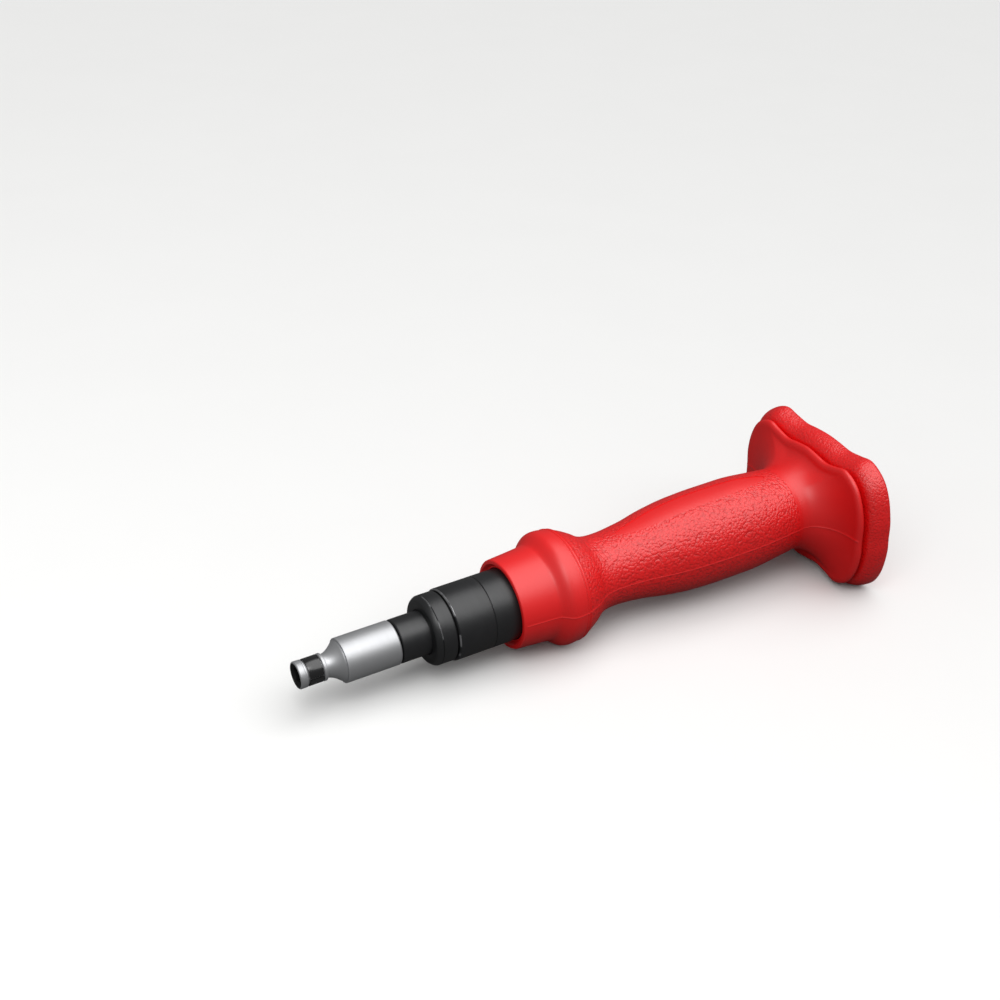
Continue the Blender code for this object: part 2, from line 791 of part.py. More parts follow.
def window_cutter(name, hand, turn_offset):
    """One leg of a chevron window: a slot that follows the drive pin's helical path."""
    half = DRIVE_PIN_R + FIT
    inner = CAM_BORE_R - OVERRUN
    outer = CAM_SLEEVE_R + OVERRUN
    steps = 6
    rings = []
    for i in range(steps + 1):
        share = i / steps
        centre_x = DRIVE_PIN_X - STROKE * share
        angle = turn_offset + hand * TURN * share
        radial = Vector((0, math.cos(angle), math.sin(angle)))
        slope = Vector((-STROKE, 0, 0)) + hand * TURN * CAM_SLEEVE_R * Vector(
            (0, -math.sin(angle), math.cos(angle))
        )
        across = slope.cross(radial).normalized() * half
        centre = Vector((centre_x, 0, 0))
        rings.append(
            [
                centre + radial * inner - across,
                centre + radial * inner + across,
                centre + radial * outer + across,
                centre + radial * outer - across,
            ]
        )
    return loft(name, rings)


def window_end(name, share, angle):
    """The round end of a window's leg, a little wider than the leg itself."""
    x = DRIVE_PIN_X - STROKE * share
    reach = CAM_SLEEVE_R + OVERRUN
    radius = DRIVE_PIN_R + FIT + WINDOW_END_RELIEF
    return cylinder(name, helix(x, -reach, angle), helix(x, reach, angle), radius)


def collar_pin_x():
    return (COLLAR_BACK_X + COLLAR_SEAT_X) / 2


def collar_pin_hole(name):
    top = CAM_BORE_R - OVERRUN
    bottom = COLLAR_R + OVERRUN
    return cylinder(
        name, (collar_pin_x(), 0, -top), (collar_pin_x(), 0, -bottom), COLLAR_PIN_R + FIT
    )


def build_cam_sleeve():
    """The tube that the collar turns, with chevron windows for both ends of the drive pin."""
    seal_floor = CAM_SLEEVE_R - 2 * SEAL_R - FIT
    seal_half = SEAL_R + FIT
    ring_floor = RING_MEAN_R - RING_WIRE_R - FIT
    ring_half = RING_WIRE_R + FIT
    sleeve = turned(
        "cam_sleeve",
        [
            (CAM_FRONT_X, CAM_SLEEVE_R),
            (BODY_SEAL_X + seal_half, CAM_SLEEVE_R),
            (BODY_SEAL_X + seal_half, seal_floor),
            (BODY_SEAL_X - seal_half, seal_floor),
            (BODY_SEAL_X - seal_half, CAM_SLEEVE_R),
            (RING_X + ring_half, CAM_SLEEVE_R),
            (RING_X + ring_half, ring_floor),
            (RING_X - ring_half, ring_floor),
            (RING_X - ring_half, CAM_SLEEVE_R),
            (CAM_SLEEVE_BACK_X, CAM_SLEEVE_R),
            (CAM_SLEEVE_BACK_X, CAM_BORE_R),
            (CAM_FRONT_X, CAM_BORE_R),
        ],
        STEEL_DARK,
        closed=True,
    )
    cut(sleeve, window_end("window_apex", 0, 0))
    for label, hand in (("right", 1), ("left", -1)):
        cut(sleeve, window_end("window_end_" + label, 1, hand * TURN))
        for side in range(2):
            cut(sleeve, window_cutter(f"window_{label}_{side}", hand, math.pi * side))
    cut(sleeve, collar_pin_hole("collar_pin_hole_in_cam_sleeve"))
    settle(sleeve)


def build_body_seal():
    settle(
        torus("body_seal", BODY_SEAL_X, CAM_SLEEVE_R - SEAL_R, SEAL_R, SEAL_RUBBER),
        math.pi,
    )


def build_neck_seal():
    settle(torus("neck_seal", NECK_SEAL_X, COLLAR_BORE_R + SEAL_R, SEAL_R, SEAL_RUBBER), math.pi)


def build_front_collar():
    # The rounded nose: shares of the chamfer's length back from the front, and of its drop
    nose_shares = ((0, 1), (0.1, 0.75), (0.45, 0.36), (0.8, 0.1))
    nose = [
        (COLLAR_FRONT_X - COLLAR_CHAMFER_LENGTH * back, COLLAR_R - COLLAR_CHAMFER * drop)
        for back, drop in nose_shares
    ]
    groove_front = COLLAR_FRONT_X - COLLAR_CHAMFER_LENGTH
    seal_half = SEAL_R + FIT
    seal_r = COLLAR_BORE_R + 2 * SEAL_R + FIT
    collar = turned(
        "front_collar",
        [
            *nose,
            (groove_front, COLLAR_R),
            (groove_front - LINE_GROOVE_WIDTH / 2, COLLAR_R - LINE_GROOVE_DEPTH),
            (groove_front - LINE_GROOVE_WIDTH, COLLAR_R),
            (COLLAR_BACK_X + COLLAR_BACK_CHAMFER, COLLAR_R),
            (COLLAR_BACK_X, COLLAR_R - COLLAR_BACK_CHAMFER),
            (COLLAR_BACK_X, SLEEVE_BORE_R),
            (COLLAR_SEAT_X, SLEEVE_BORE_R),
            (COLLAR_SEAT_X, COLLAR_BORE_R),
            (NECK_SEAL_X - seal_half, COLLAR_BORE_R),
            (NECK_SEAL_X - seal_half, seal_r),
            (NECK_SEAL_X + seal_half, seal_r),
            (NECK_SEAL_X + seal_half, COLLAR_BORE_R),
            (COLLAR_FRONT_X, COLLAR_BORE_R),
        ],
        STEEL_BLACK,
        closed=True,
    )
    cut(collar, collar_pin_hole("collar_pin_hole_in_collar"))
    settle(collar)


def build_collar_pin():
    top = CAM_BORE_R + FIT
    bottom = COLLAR_R - FIT
    settle(
        cylinder(
            "collar_pin",
            (collar_pin_x(), 0, -top),
            (collar_pin_x(), 0, -bottom),
            COLLAR_PIN_R,
            STEEL_BRIGHT,
            sides=12,
        )
    )


def drive_ball_x():
    return (NECK_FRONT_X + DRIVE_FRONT_X) / 2


def drive_ball_centre():
    return Vector((drive_ball_x(), 0, -(DRIVE_SIDE / 2 + DRIVE_BALL_PROUD - DRIVE_BALL_R)))


def ball_spring_top():
    """Height of the small spring's far end, measured from the tool's axis towards the ball."""
    return -drive_ball_centre().z - DRIVE_BALL_R - FIT - BALL_SPRING_LENGTH


def build_anvil_spindle():
    spindle = turned(
        "anvil_spindle",
        [
            (NECK_FRONT_X, 0),
            (NECK_FRONT_X, NECK_R - NECK_CHAMFER),
            (NECK_FRONT_X - NECK_CHAMFER, NECK_R),
            (CAM_FRONT_X, NECK_R),
            (CAM_FRONT_X, CAM_HEAD_R),
            (CAM_HEAD_BACK_X, CAM_HEAD_R),
            (CAM_HEAD_BACK_X, PILOT_R),
            (CAM_HEAD_BACK_X - PILOT_LENGTH, PILOT_R),
            (CAM_HEAD_BACK_X - PILOT_LENGTH, 0),
        ],
        STEEL_BLACK,
    )
    drive = rounded_bar(
        "square_drive", NECK_FRONT_X - OVERRUN, DRIVE_FRONT_X, DRIVE_SIDE, DRIVE_CORNER
    )
    nose = [v for v in drive.data.vertices if v.co.x > drive_ball_x()]
    for vertex in nose:
        vertex.co.x -= DRIVE_NOSE_CHAMFER
    tip = rounded_bar(
        "square_drive_tip",
        DRIVE_FRONT_X - 2 * DRIVE_NOSE_CHAMFER,
        DRIVE_FRONT_X,
        DRIVE_SIDE - 2 * DRIVE_NOSE_CHAMFER,
        DRIVE_CORNER - DRIVE_NOSE_CHAMFER / 2,
    )
    join(spindle, drive, tip)
    reach = CAM_HEAD_R + OVERRUN
    pin_hole = cylinder(
        "drive_pin_hole", (DRIVE_PIN_X, -reach, 0), (DRIVE_PIN_X, reach, 0), DRIVE_PIN_R + FIT
    )
    hole_floor = ball_spring_top() - FIT
    ball_hole = cylinder(
        "drive_ball_hole",
        (drive_ball_x(), 0, -hole_floor),
        (drive_ball_x(), 0, -(DRIVE_SIDE / 2 + OVERRUN)),
        DRIVE_BALL_R + FIT,
    )
    cut(spindle, pin_hole, ball_hole)
    settle(spindle)


def build_drive_pin():
    half = math.sqrt(CAM_SLEEVE_R**2 - DRIVE_PIN_R**2) - FIT
    settle(
        cylinder(
            "drive_pin", (DRIVE_PIN_X, -half, 0), (DRIVE_PIN_X, half, 0), DRIVE_PIN_R, STEEL_BRIGHT
        )
    )


def build_drive_ball_and_spring():
    settle(ball("drive_detent_ball", drive_ball_centre(), DRIVE_BALL_R, STEEL_BRIGHT), math.pi)
    start = ball_spring_top() + BALL_SPRING_WIRE_R
    end = ball_spring_top() + BALL_SPRING_LENGTH - BALL_SPRING_WIRE_R
    mean = DRIVE_BALL_R - BALL_SPRING_WIRE_R - FIT / 2
    count = COIL_POINTS * BALL_SPRING_TURNS
    points = []
    for i in range(count + 1):
        angle = math.tau * i / COIL_POINTS
        depth = start + (end - start) * i / count
        points.append(
            Vector((drive_ball_x() + mean * math.cos(angle), mean * math.sin(angle), -depth))
        )
    print("drive_ball_spring least gap, mm:", least_turn_gap(points, BALL_SPRING_WIRE_R) / MM)
    settle(wire("drive_ball_spring", points, BALL_SPRING_WIRE_R, SPRING_STEEL))


def band_front_x():
    return HOLDER_FRONT_X - NOSE_LIP_LENGTH - FIT - LINE_GROOVE_WIDTH


def band_back_x():
    return band_front_x() - BAND_LENGTH


def bit_ball_place():
    flat = HEX_SIDE_TO_SIDE / 2
    return Vector(((band_front_x() + band_back_x()) / 2, 0, -(flat - BIT_BALL_PROUD + BIT_BALL_R)))


def hexagon(name, start_x, end_x, side_to_side):
    """A six-sided bar along X with a flat towards the ball."""
    bm = bmesh.new()
    corner_r = side_to_side / 2 / math.cos(math.pi / 6)
    bmesh.ops.create_cone(
        bm,
        cap_ends=True,
        segments=6,
        radius1=corner_r,
        radius2=corner_r,
        depth=end_x - start_x,
    )
    spin = Matrix.Rotation(math.pi / 2, 4, "Y") @ Matrix.Rotation(math.pi / 6, 4, "Z")
    place = Matrix.Translation(((start_x + end_x) / 2, 0, 0))
    bmesh.ops.transform(bm, matrix=place @ spin, verts=bm.verts)
    return link(object_from(name, bm))


def build_bit_holder():
    ring_front = band_back_x() - FIT
    ring_back = ring_front - NECK_RING_LENGTH
    barrel_front = ring_back - THROAT_LENGTH
    rise = HOLDER_R - HOLDER_CHAMFER - THROAT_R
    flare_steps = 7
    throat = []
    for i in range(1, flare_steps + 1):
        share = i / flare_steps
        throat.append((ring_back - THROAT_LENGTH * share, THROAT_R + rise * share**2))
    holder = turned(
        "bit_holder",
        [
            (HOLDER_FRONT_X, 0),
            (HOLDER_FRONT_X, NOSE_R - NOSE_CHAMFER),
            (HOLDER_FRONT_X - NOSE_CHAMFER, NOSE_R),
            (HOLDER_FRONT_X - NOSE_LIP_LENGTH, NOSE_R),
            (HOLDER_FRONT_X - NOSE_LIP_LENGTH, THROAT_R),
            (ring_front, THROAT_R),
            (ring_front, NOSE_R - NOSE_CHAMFER / 2),
            (ring_front - NOSE_CHAMFER / 2, NOSE_R),
            (ring_back + NOSE_CHAMFER / 2, NOSE_R),
            (ring_back, THROAT_R),
            *throat,
            (barrel_front - HOLDER_CHAMFER, HOLDER_R),
            (HOLDER_BACK_X + HOLDER_CHAMFER, HOLDER_R),
            (HOLDER_BACK_X, HOLDER_R - HOLDER_CHAMFER),
            (HOLDER_BACK_X, 0),
        ],
        CHROME,
    )
    socket_floor = HOLDER_FRONT_X - HEX_DEPTH
    magnet_floor = socket_floor - MAGNET_THICKNESS - 2 * FIT
    bit_socket = hexagon("bit_socket", socket_floor, HOLDER_FRONT_X + OVERRUN, HEX_SIDE_TO_SIDE)
    magnet_seat = cylinder(
        "magnet_seat", (magnet_floor, 0, 0), (HOLDER_FRONT_X - HEX_DEPTH / 2, 0, 0), MAGNET_R + FIT
    )
    mouth_r = NOSE_R - NOSE_CHAMFER - MOUTH_RIM
    mouth = turned(
        "socket_mouth",
        [
            (HOLDER_FRONT_X + MOUTH_DEPTH, 0),
            (HOLDER_FRONT_X + MOUTH_DEPTH, mouth_r + MOUTH_DEPTH),
            (HOLDER_FRONT_X - MOUTH_DEPTH, mouth_r - MOUTH_DEPTH),
            (HOLDER_FRONT_X - MOUTH_DEPTH, 0),
        ],
    )
    square = rounded_bar(
        "square_socket",
        HOLDER_BACK_X - OVERRUN,
        HOLDER_BACK_X + DRIVE_LENGTH + SQUARE_SOCKET_SPARE,
        DRIVE_SIDE + 2 * FIT,
        DRIVE_CORNER,
    )
    ball_place = bit_ball_place()
    ball_hole = cylinder(
        "bit_ball_hole",
        (ball_place.x, 0, 0),
        (ball_place.x, 0, -(NOSE_R + OVERRUN)),
        BIT_BALL_R + FIT,
    )
    cut(holder, bit_socket, mouth, magnet_seat, square, ball_hole)
    settle(holder)


def build_bit_band():
    """A split spring band that holds the bit ball in, with a hole that locates the ball."""
    band = turned(
        "bit_band",
        [
            (band_front_x(), BAND_INNER_R + BAND_WALL),
            (band_back_x(), BAND_INNER_R + BAND_WALL),
            (band_back_x(), BAND_INNER_R),
            (band_front_x(), BAND_INNER_R),
        ],
        BAND_BLACK,
        closed=True,
    )
    place = bit_ball_place()
    reach = BAND_INNER_R + BAND_WALL + OVERRUN
    hole = cylinder("band_hole", (place.x, 0, 0), (place.x, 0, -reach), BAND_HOLE_R, sides=12)
    split = bmesh.new()
    bmesh.ops.create_cube(split, size=1)
    size = Matrix.Diagonal((BAND_LENGTH + OVERRUN, reach, BAND_SPLIT, 1))
    shift = Matrix.Translation((place.x, reach / 2, 0))
    bmesh.ops.transform(split, matrix=shift @ size, verts=split.verts)
    cut(band, hole, link(object_from("band_split", split)))
    settle(band)


def build_bit_ball():
    settle(ball("bit_detent_ball", bit_ball_place(), BIT_BALL_R, STEEL_BRIGHT), math.pi)


def build_bit_magnet():
    front = HOLDER_FRONT_X - HEX_DEPTH - FIT
    settle(
        cylinder(
            "bit_magnet", (front - MAGNET_THICKNESS, 0, 0), (front, 0, 0), MAGNET_R, MAGNET_GREY
        )
    )


build_striking_head()
build_lock_pin()
build_guard_pad()
build_hand_grip()
build_housing_sleeve()
build_spring_guide()
build_main_spring()
build_thrust_washer()
build_retaining_ring()
build_cam_sleeve()
build_body_seal()
build_neck_seal()
build_front_collar()
build_collar_pin()
build_anvil_spindle()
build_drive_pin()
build_drive_ball_and_spring()
build_bit_holder()
build_bit_band()
build_bit_ball()
build_bit_magnet()
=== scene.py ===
"""Hand impact driver with a red guarded grip: its visible pieces, finishes and studio.

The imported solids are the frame: each new piece is turned, bridged and cut at the place of the
node it stands for. All sizes are in metres, with the tool's axis along +X.
"""
import math

import bmesh
import bpy
from bpy.props import FloatProperty, FloatVectorProperty, IntProperty, PointerProperty
from bpy.types import Operator, Panel, PropertyGroup
from mathutils import Matrix, Vector


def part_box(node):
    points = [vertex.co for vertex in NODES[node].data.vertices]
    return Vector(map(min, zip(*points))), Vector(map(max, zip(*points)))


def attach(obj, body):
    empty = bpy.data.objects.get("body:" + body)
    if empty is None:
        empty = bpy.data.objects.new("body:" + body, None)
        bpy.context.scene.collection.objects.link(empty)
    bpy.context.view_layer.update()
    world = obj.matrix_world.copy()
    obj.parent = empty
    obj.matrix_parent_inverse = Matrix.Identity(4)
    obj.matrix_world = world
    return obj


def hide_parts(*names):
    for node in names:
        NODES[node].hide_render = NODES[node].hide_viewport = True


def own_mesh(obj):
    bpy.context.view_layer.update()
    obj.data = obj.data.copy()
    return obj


bl_info = {
    "name": "Hand Impact Driver",
    "version": (1, 0, 0),
    "blender": (4, 5, 0),
    "location": "3D View > Sidebar > Impact Driver",
    "description": "Models, finishes and lights a hand impact driver on its packed frame",
    "category": "Add Mesh",
}

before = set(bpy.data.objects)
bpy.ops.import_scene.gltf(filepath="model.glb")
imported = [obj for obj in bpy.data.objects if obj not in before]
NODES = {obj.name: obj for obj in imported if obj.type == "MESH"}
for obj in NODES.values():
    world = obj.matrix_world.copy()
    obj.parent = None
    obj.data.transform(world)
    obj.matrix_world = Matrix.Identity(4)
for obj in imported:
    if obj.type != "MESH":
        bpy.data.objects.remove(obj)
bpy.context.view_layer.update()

MM = 0.001
# Corners closer than this become one
WELD = 0.002 * MM
# Corners this close to a place count as lying there
AT = 0.01 * MM
# How far a cutting form passes the face that it goes through
PAST = 1.0 * MM

# Width of the guard's outermost rim, between its roundings
RIM = 0.1 * MM

# Sizes that two pieces share
SHANK_BORE = 11.3 * MM
SHANK_FRONT = 159.7 * MM
TENON_FRONT = 172.0 * MM
HOUSING_BORE = 14.2 * MM


def near(node):
    """The lowest place of a node of the frame along the tool's axis."""
    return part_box(node)[0].x


def far(node):
    """The highest place of a node of the frame along the tool's axis."""
    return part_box(node)[1].x


def linear(code):
    """A linear colour from its sRGB hex code."""
    colour = []
    for i in (0, 2, 4):
        share = int(code[i : i + 2], 16) / 255
        colour.append(share / 12.92 if share <= 0.04045 else ((share + 0.055) / 1.055) ** 2.4)
    return tuple(colour)


def length(name, millimetres, description):
    return FloatProperty(
        name=name, description=description, default=millimetres * MM, min=0, precision=5,
        subtype="DISTANCE", unit="LENGTH",
    )


def paint(name, code, description):
    return FloatVectorProperty(
        name=name, description=description, default=linear(code), min=0, max=1, size=3,
        subtype="COLOR",
    )


# ---- Sizes and colours


class GripSizes(PropertyGroup):
    sides: IntProperty(name="Sides", description="Facets round a piece", default=192, min=48)
    tail_radius: length("Tail radius", 20.0, "Radius where the handle meets the flare")
    palm_radius: length("Palm radius", 22.5, "Largest radius of the handle")
    waist_radius: length("Waist radius", 16.9, "Smallest radius of the handle")
    ridge_radius: length("Ridge radius", 26.4, "Radius of the thumb ridge")
    bell_radius: length("Bell radius", 21.9, "Radius between the ridge and the lip")
    lip_radius: length("Lip radius", 19.8, "Inner radius of the rounded lip")
    lip_rounding: length("Lip rounding", 0.8, "Rounding of the lip's outer edge")
    lip_flat: length("Lip flat", 1.0, "Width of the lip's flat face")
    lip_dish: length("Lip dish", 1.8, "Depth of the lip's hollow face")
    front_half_width: length("Front half width", 43.2, "Half of the front guard across Y")
    front_half_height: length("Front half height", 30.5, "Half of the front guard across Z")
    pad_half_width: length("Pad half width", 47.8, "Half of the rear guard across Y")
    pad_half_height: length("Pad half height", 33.4, "Half of the rear guard across Z")
    grain_start: length("Grain start", 42.4, "Where the grain begins behind the handle")
    grain_end: length("Grain end", 160.2, "Where the grain ends below the ridge")
    panel_start: length("Panel start", 50.0, "Rear end of the smooth panel")
    panel_end: length("Panel end", 132.0, "Front end of the smooth panel")
    panel_width: length("Panel width", 11.0, "Width of the smooth panel")
    panel_depth: length("Panel depth", 0.3, "Depth of the smooth panel in the grain")
    grain_height: length("Grain height", 0.08, "Rise of the grained skin over the smooth one")
    bead_height: length("Bead height", 0.45, "Height of the beads that close the grain")
    seam_width: length("Seam width", 0.3, "Half width of the mould's parting line")
    seam_height: length("Seam height", 0.17, "Height of the mould's parting line")


class SteelSizes(PropertyGroup):
    sleeve_radius: length("Sleeve radius", 16.4, "Outside radius of the housing")
    sleeve_groove: length("Sleeve groove", 202.5, "Place of the line turned in the housing")
    collar_radius: length("Collar radius", 15.8, "Outside radius of the collar")
    neck_radius: length("Neck radius", 9.9, "Radius of the spindle's neck")
    holder_radius: length("Holder radius", 10.0, "Outside radius of the bit holder")
    nose_radius: length("Nose radius", 6.1, "Radius of the holder's nose")
    throat_radius: length("Throat radius", 5.2, "Radius under the band")
    hex_side_to_side: length("Hex size", 8.0, "Width of the bit socket across its flats")
    drive_side: length("Drive size", 12.7, "Side of the square drive")
    line_width: length("Line width", 0.5, "Width of the turned lines")
    line_depth: length("Line depth", 0.3, "Depth of the turned lines")


class Colours(PropertyGroup):
    soft_red: paint("Soft red", "EA0B0E", "Moulded grip and guard")
    black_oxide: paint("Black oxide", "17181A", "Housing, collar and spindle")
    oxide_worn: paint("Worn oxide", "2C2D2F", "Black oxide where hands rub it")
    # Bright bare steel on the edges: partly rubbed-through wear, partly a painted glint on the
    # chamfers
    bare_edge_glint: paint("Bare edge", "B4B4B6", "Edges where the oxide is rubbed through")
    chrome: paint("Satin chrome", "D0D1D3", "Bit holder")
    # Near-black: bare steel with painted shade in the sockets and the mouth
    socket: paint("Bare socket", "2A2A2B", "Sockets and mouth of the bit holder")
    band_black: paint("Band black", "141415", "Spring band on the holder's nose")
    forged: paint("Forged steel", "5B5A59", "Striking head and cam")
    ground: paint("Ground steel", "C3C4C6", "Pins, balls and washers")
    spring: paint("Spring wire", "8A8A8C", "Springs and retaining ring")
    rubber: paint("Seal rubber", "1E1E1E", "Seals")
    nickel: paint("Nickel", "A9A7A0", "Plated magnet")
    floor: paint("Floor", "F1F1F0", "Studio floor, as the camera sees it")
    floor_bounce: paint("Floor bounce", "5E5E5E", "Studio floor, as the tool sees it")


# The guard's outlines: shares of its half width and half height, from the middle of its short
# side, over the rounded ear and the hollow, to the middle lobe of its long side
FRONT_OUTLINE_SHARES = (
    (1.0, 0.0), (1.0, 0.29), (0.945, 0.61), (0.835, 0.865), (0.655, 1.0),
    (0.5, 0.955), (0.33, 0.908), (0.165, 0.94), (0.0, 0.968),
)
PAD_OUTLINE_SHARES = (
    (1.0, 0.0), (0.998, 0.26), (0.945, 0.6), (0.84, 0.85), (0.66, 1.0),
    (0.5, 0.975), (0.335, 0.945), (0.165, 0.97), (0.0, 0.983),
)


# ---- Modelling, as by hand


def mode(name):
    """Goes to edit or object mode."""
    bpy.ops.object.mode_set(mode=name)


def start():
    """Object mode with nothing selected."""
    if bpy.context.mode != "OBJECT":
        mode("OBJECT")
    bpy.ops.object.select_all(action="DESELECT")


def primitive(kind, **settings):
    """Adds a primitive alone and puts its place, turn and size into its mesh."""
    start()
    getattr(bpy.ops.mesh, f"primitive_{kind}_add")(**settings)
    bpy.ops.object.transform_apply()
    return bpy.context.object


def take(*pieces):
    """Selects these pieces alone; the first becomes the active one."""
    start()
    for piece in pieces:
        piece.select_set(True)
    bpy.context.view_layer.objects.active = pieces[0]
    return pieces[0]


def pick(kind, test):
    """Selects the verts, edges or faces of the edited mesh that pass the test, and no others."""
    modes = {"verts": "VERT", "edges": "EDGE", "faces": "FACE"}
    bpy.ops.mesh.select_mode(type=modes[kind])
    bpy.ops.mesh.select_all(action="DESELECT")
    mesh = bpy.context.edit_object.data
    form = bmesh.from_edit_mesh(mesh)
    for part in getattr(form, kind):
        if test(part):
            part.select_set(True)
    form.select_flush_mode()
    bmesh.update_edit_mesh(mesh)


def pick_all():
    bpy.ops.mesh.select_all(action="SELECT")


def draw_on(x, y, z):
    """Extrudes what is picked and moves the new end."""
    bpy.ops.mesh.extrude_region_move(TRANSFORM_OT_translate={"value": (x, y, z)})


def mend():
    """Closes seams and poles, then turns every face outwards."""
    bpy.ops.mesh.select_mode(type="VERT")
    pick_all()
    bpy.ops.mesh.remove_doubles(threshold=WELD)
    bpy.ops.mesh.normals_make_consistent(inside=False)


def section(points):
    """Draws a half section, corner by corner: each point is (x, radius)."""
    x, radius = points[0]
    primitive("plane", size=MM, location=(x, 0, radius))
    mode("EDIT")
    bpy.ops.mesh.select_mode(type="VERT")
    pick_all()
    bpy.ops.mesh.merge(type="CENTER")
    for (x0, r0), (x1, r1) in zip(points, points[1:]):
        draw_on(x1 - x0, 0, r1 - r0)


def turned(name, points, closed=False, rounding=0.0, sides=None):
    """A turned piece: its half section is drawn and spun once round the tool's axis.

    A closed section makes a ring, and an open one ends on the axis or stays open.
    """
    sides = sides or bpy.context.scene.driver_grip.sides
    section([*points, points[0]] if closed else points)
    pick_all()
    bpy.ops.mesh.spin(steps=sides, angle=math.tau, center=(0, 0, 0), axis=(1, 0, 0))
    mend()
    mode("OBJECT")
    piece = bpy.context.object
    piece.name = piece.data.name = name
    if rounding:
        soften(piece, rounding)
    return piece


def modify(piece, kind, **settings):
    """Adds one modifier with its settings and applies it."""
    take(piece)
    bpy.ops.object.modifier_add(type=kind)
    change = piece.modifiers[-1]
    for name, value in settings.items():
        setattr(change, name, value)
    bpy.ops.object.modifier_apply(modifier=change.name)


def soften(piece, width):
    """Rounds the edges that turn by more than 25 degrees."""
    angle = math.radians(25)
    modify(piece, "BEVEL", width=width, segments=2, limit_method="ANGLE", angle_limit=angle)


def cut(piece, *tools, operation="DIFFERENCE"):
    """Cuts the tools out of the piece, or adds them. New faces take the tool's finish."""
    how = {"operation": operation, "solver": "EXACT", "material_mode": "TRANSFER"}
    for tool in tools:
        modify(piece, "BOOLEAN", object=tool, **how)
        take(tool)
        bpy.ops.object.delete()


def join(piece, *others):
    """Makes the others part of the piece."""
    take(piece, *others)
    bpy.ops.object.join()


def rod(x, radius, low, high, sides=48):
    """A round form that stands upright at x, from low to high."""
    middle = (x, 0, (low + high) / 2)
    return primitive(
        "cylinder", vertices=sides, radius=radius, depth=high - low, location=middle
    )


def square_bar(back, front, side, corner):
    """A square bar along the tool's axis with rounded corners."""
    bar = primitive(
        "cube", size=1, location=((back + front) / 2, 0, 0), scale=(front - back, side, side)
    )
    mode("EDIT")
    pick("edges", lambda e: abs(e.verts[0].co.x - e.verts[1].co.x) > PAST)
    bpy.ops.mesh.bevel(offset=corner, segments=6)
    mode("OBJECT")
    return bar


def dress(piece, *finishes):
    """Gives the piece its finishes; the first one covers it."""
    piece.data.materials.clear()
    for finish in finishes:
        piece.data.materials.append(finish_named(finish))
    return piece


def give_second_finish(piece, test):
    """Gives the faces that pass the test, on their (x, radius, face), the second finish."""

    def passes(face):
        middle = face.calc_center_median()
        return test(middle.x, math.hypot(*middle.yz), face)

    take(piece)
    mode("EDIT")
    pick("faces", passes)
    piece.active_material_index = 1
    bpy.ops.object.material_slot_assign()
    mode("OBJECT")


def rub_glinting_edges(piece, low, high, outside):
    """Gives the outer chamfers between two places along the axis the second finish."""
    give_second_finish(
        piece,
        lambda x, radius, face: abs(face.normal.x) > 0.1
        and low < x < high
        and radius > outside - 0.6 * MM,
    )


def hand_over(piece, body, node):
    """Shades the piece smooth, up to edges of 32 degrees, and puts it in the node's place."""
    take(piece)
    bpy.ops.object.shade_smooth_by_angle(angle=math.radians(32))
    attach(piece, body)
    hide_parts(node)


# ---- Finishes


def feed(tree, node, inputs):
    """Gives each named input of the node a value or another node's output."""
    for name, value in dict(inputs).items():
        if isinstance(value, bpy.types.NodeSocket):
            tree.links.new(value, node.inputs[name])
        else:
            node.inputs[name].default_value = value


def add(tree, kind, inputs=(), **settings):
    """Adds one node with its settings and inputs."""
    made = tree.nodes.new("ShaderNode" + kind)
    for name, value in settings.items():
        setattr(made, name, value)
    feed(tree, made, inputs)
    return made


def every(millimetres):
    """The scale of a pattern that repeats after this many millimetres."""
    return 1 / (millimetres * MM)


def rgba(colour):
    return (*colour, 1.0)


def new_finish(name):
    """A material with its Principled shader, its tree and its Object coordinates."""
    finish = bpy.data.materials.new(name)
    finish.use_nodes = True
    tree = finish.node_tree
    shader = tree.nodes["Principled BSDF"]
    place = add(tree, "TexCoord").outputs["Object"]
    return finish, tree, shader, place


def shaded(tree, place, colour, spread, size):
    """The colour, a little lighter and darker in soft clouds of this size."""
    cloud = add(tree, "TexNoise", {"Vector": place, "Scale": every(size), "Detail": 3.0})
    level = add(
        tree,
        "MapRange",
        {"Value": cloud.outputs["Fac"], "From Min": 0.3, "From Max": 0.7,
         "To Min": 1 - spread, "To Max": 1 + spread},
    )
    tinted = {"Color": rgba(colour), "Value": level.outputs["Result"]}
    return add(tree, "HueSaturation", tinted).outputs["Color"]


def cells_and_creases(tree, place, cell):
    """0 at the middle of each wandering cell of this size, rising to its creases."""
    # The cells wander because their coordinates are pushed about by part of a cell
    sway = add(tree, "TexNoise", {"Vector": place, "Scale": every(cell * 1.5), "Detail": 2.0})
    centred = {0: sway.outputs["Color"], 1: (0.5, 0.5, 0.5)}
    push = add(tree, "VectorMath", centred, operation="SUBTRACT").outputs["Vector"]
    pushed = {0: push, 1: (cell * MM * 1.3,) * 3, 2: place}
    spot = add(tree, "VectorMath", pushed, operation="MULTIPLY_ADD").outputs["Vector"]
    cells = add(tree, "TexVoronoi", {"Vector": spot, "Scale": every(cell)})
    squared = {0: cells.outputs["Distance"], 1: 2.0}
    return add(tree, "Math", squared, operation="POWER").outputs[0]


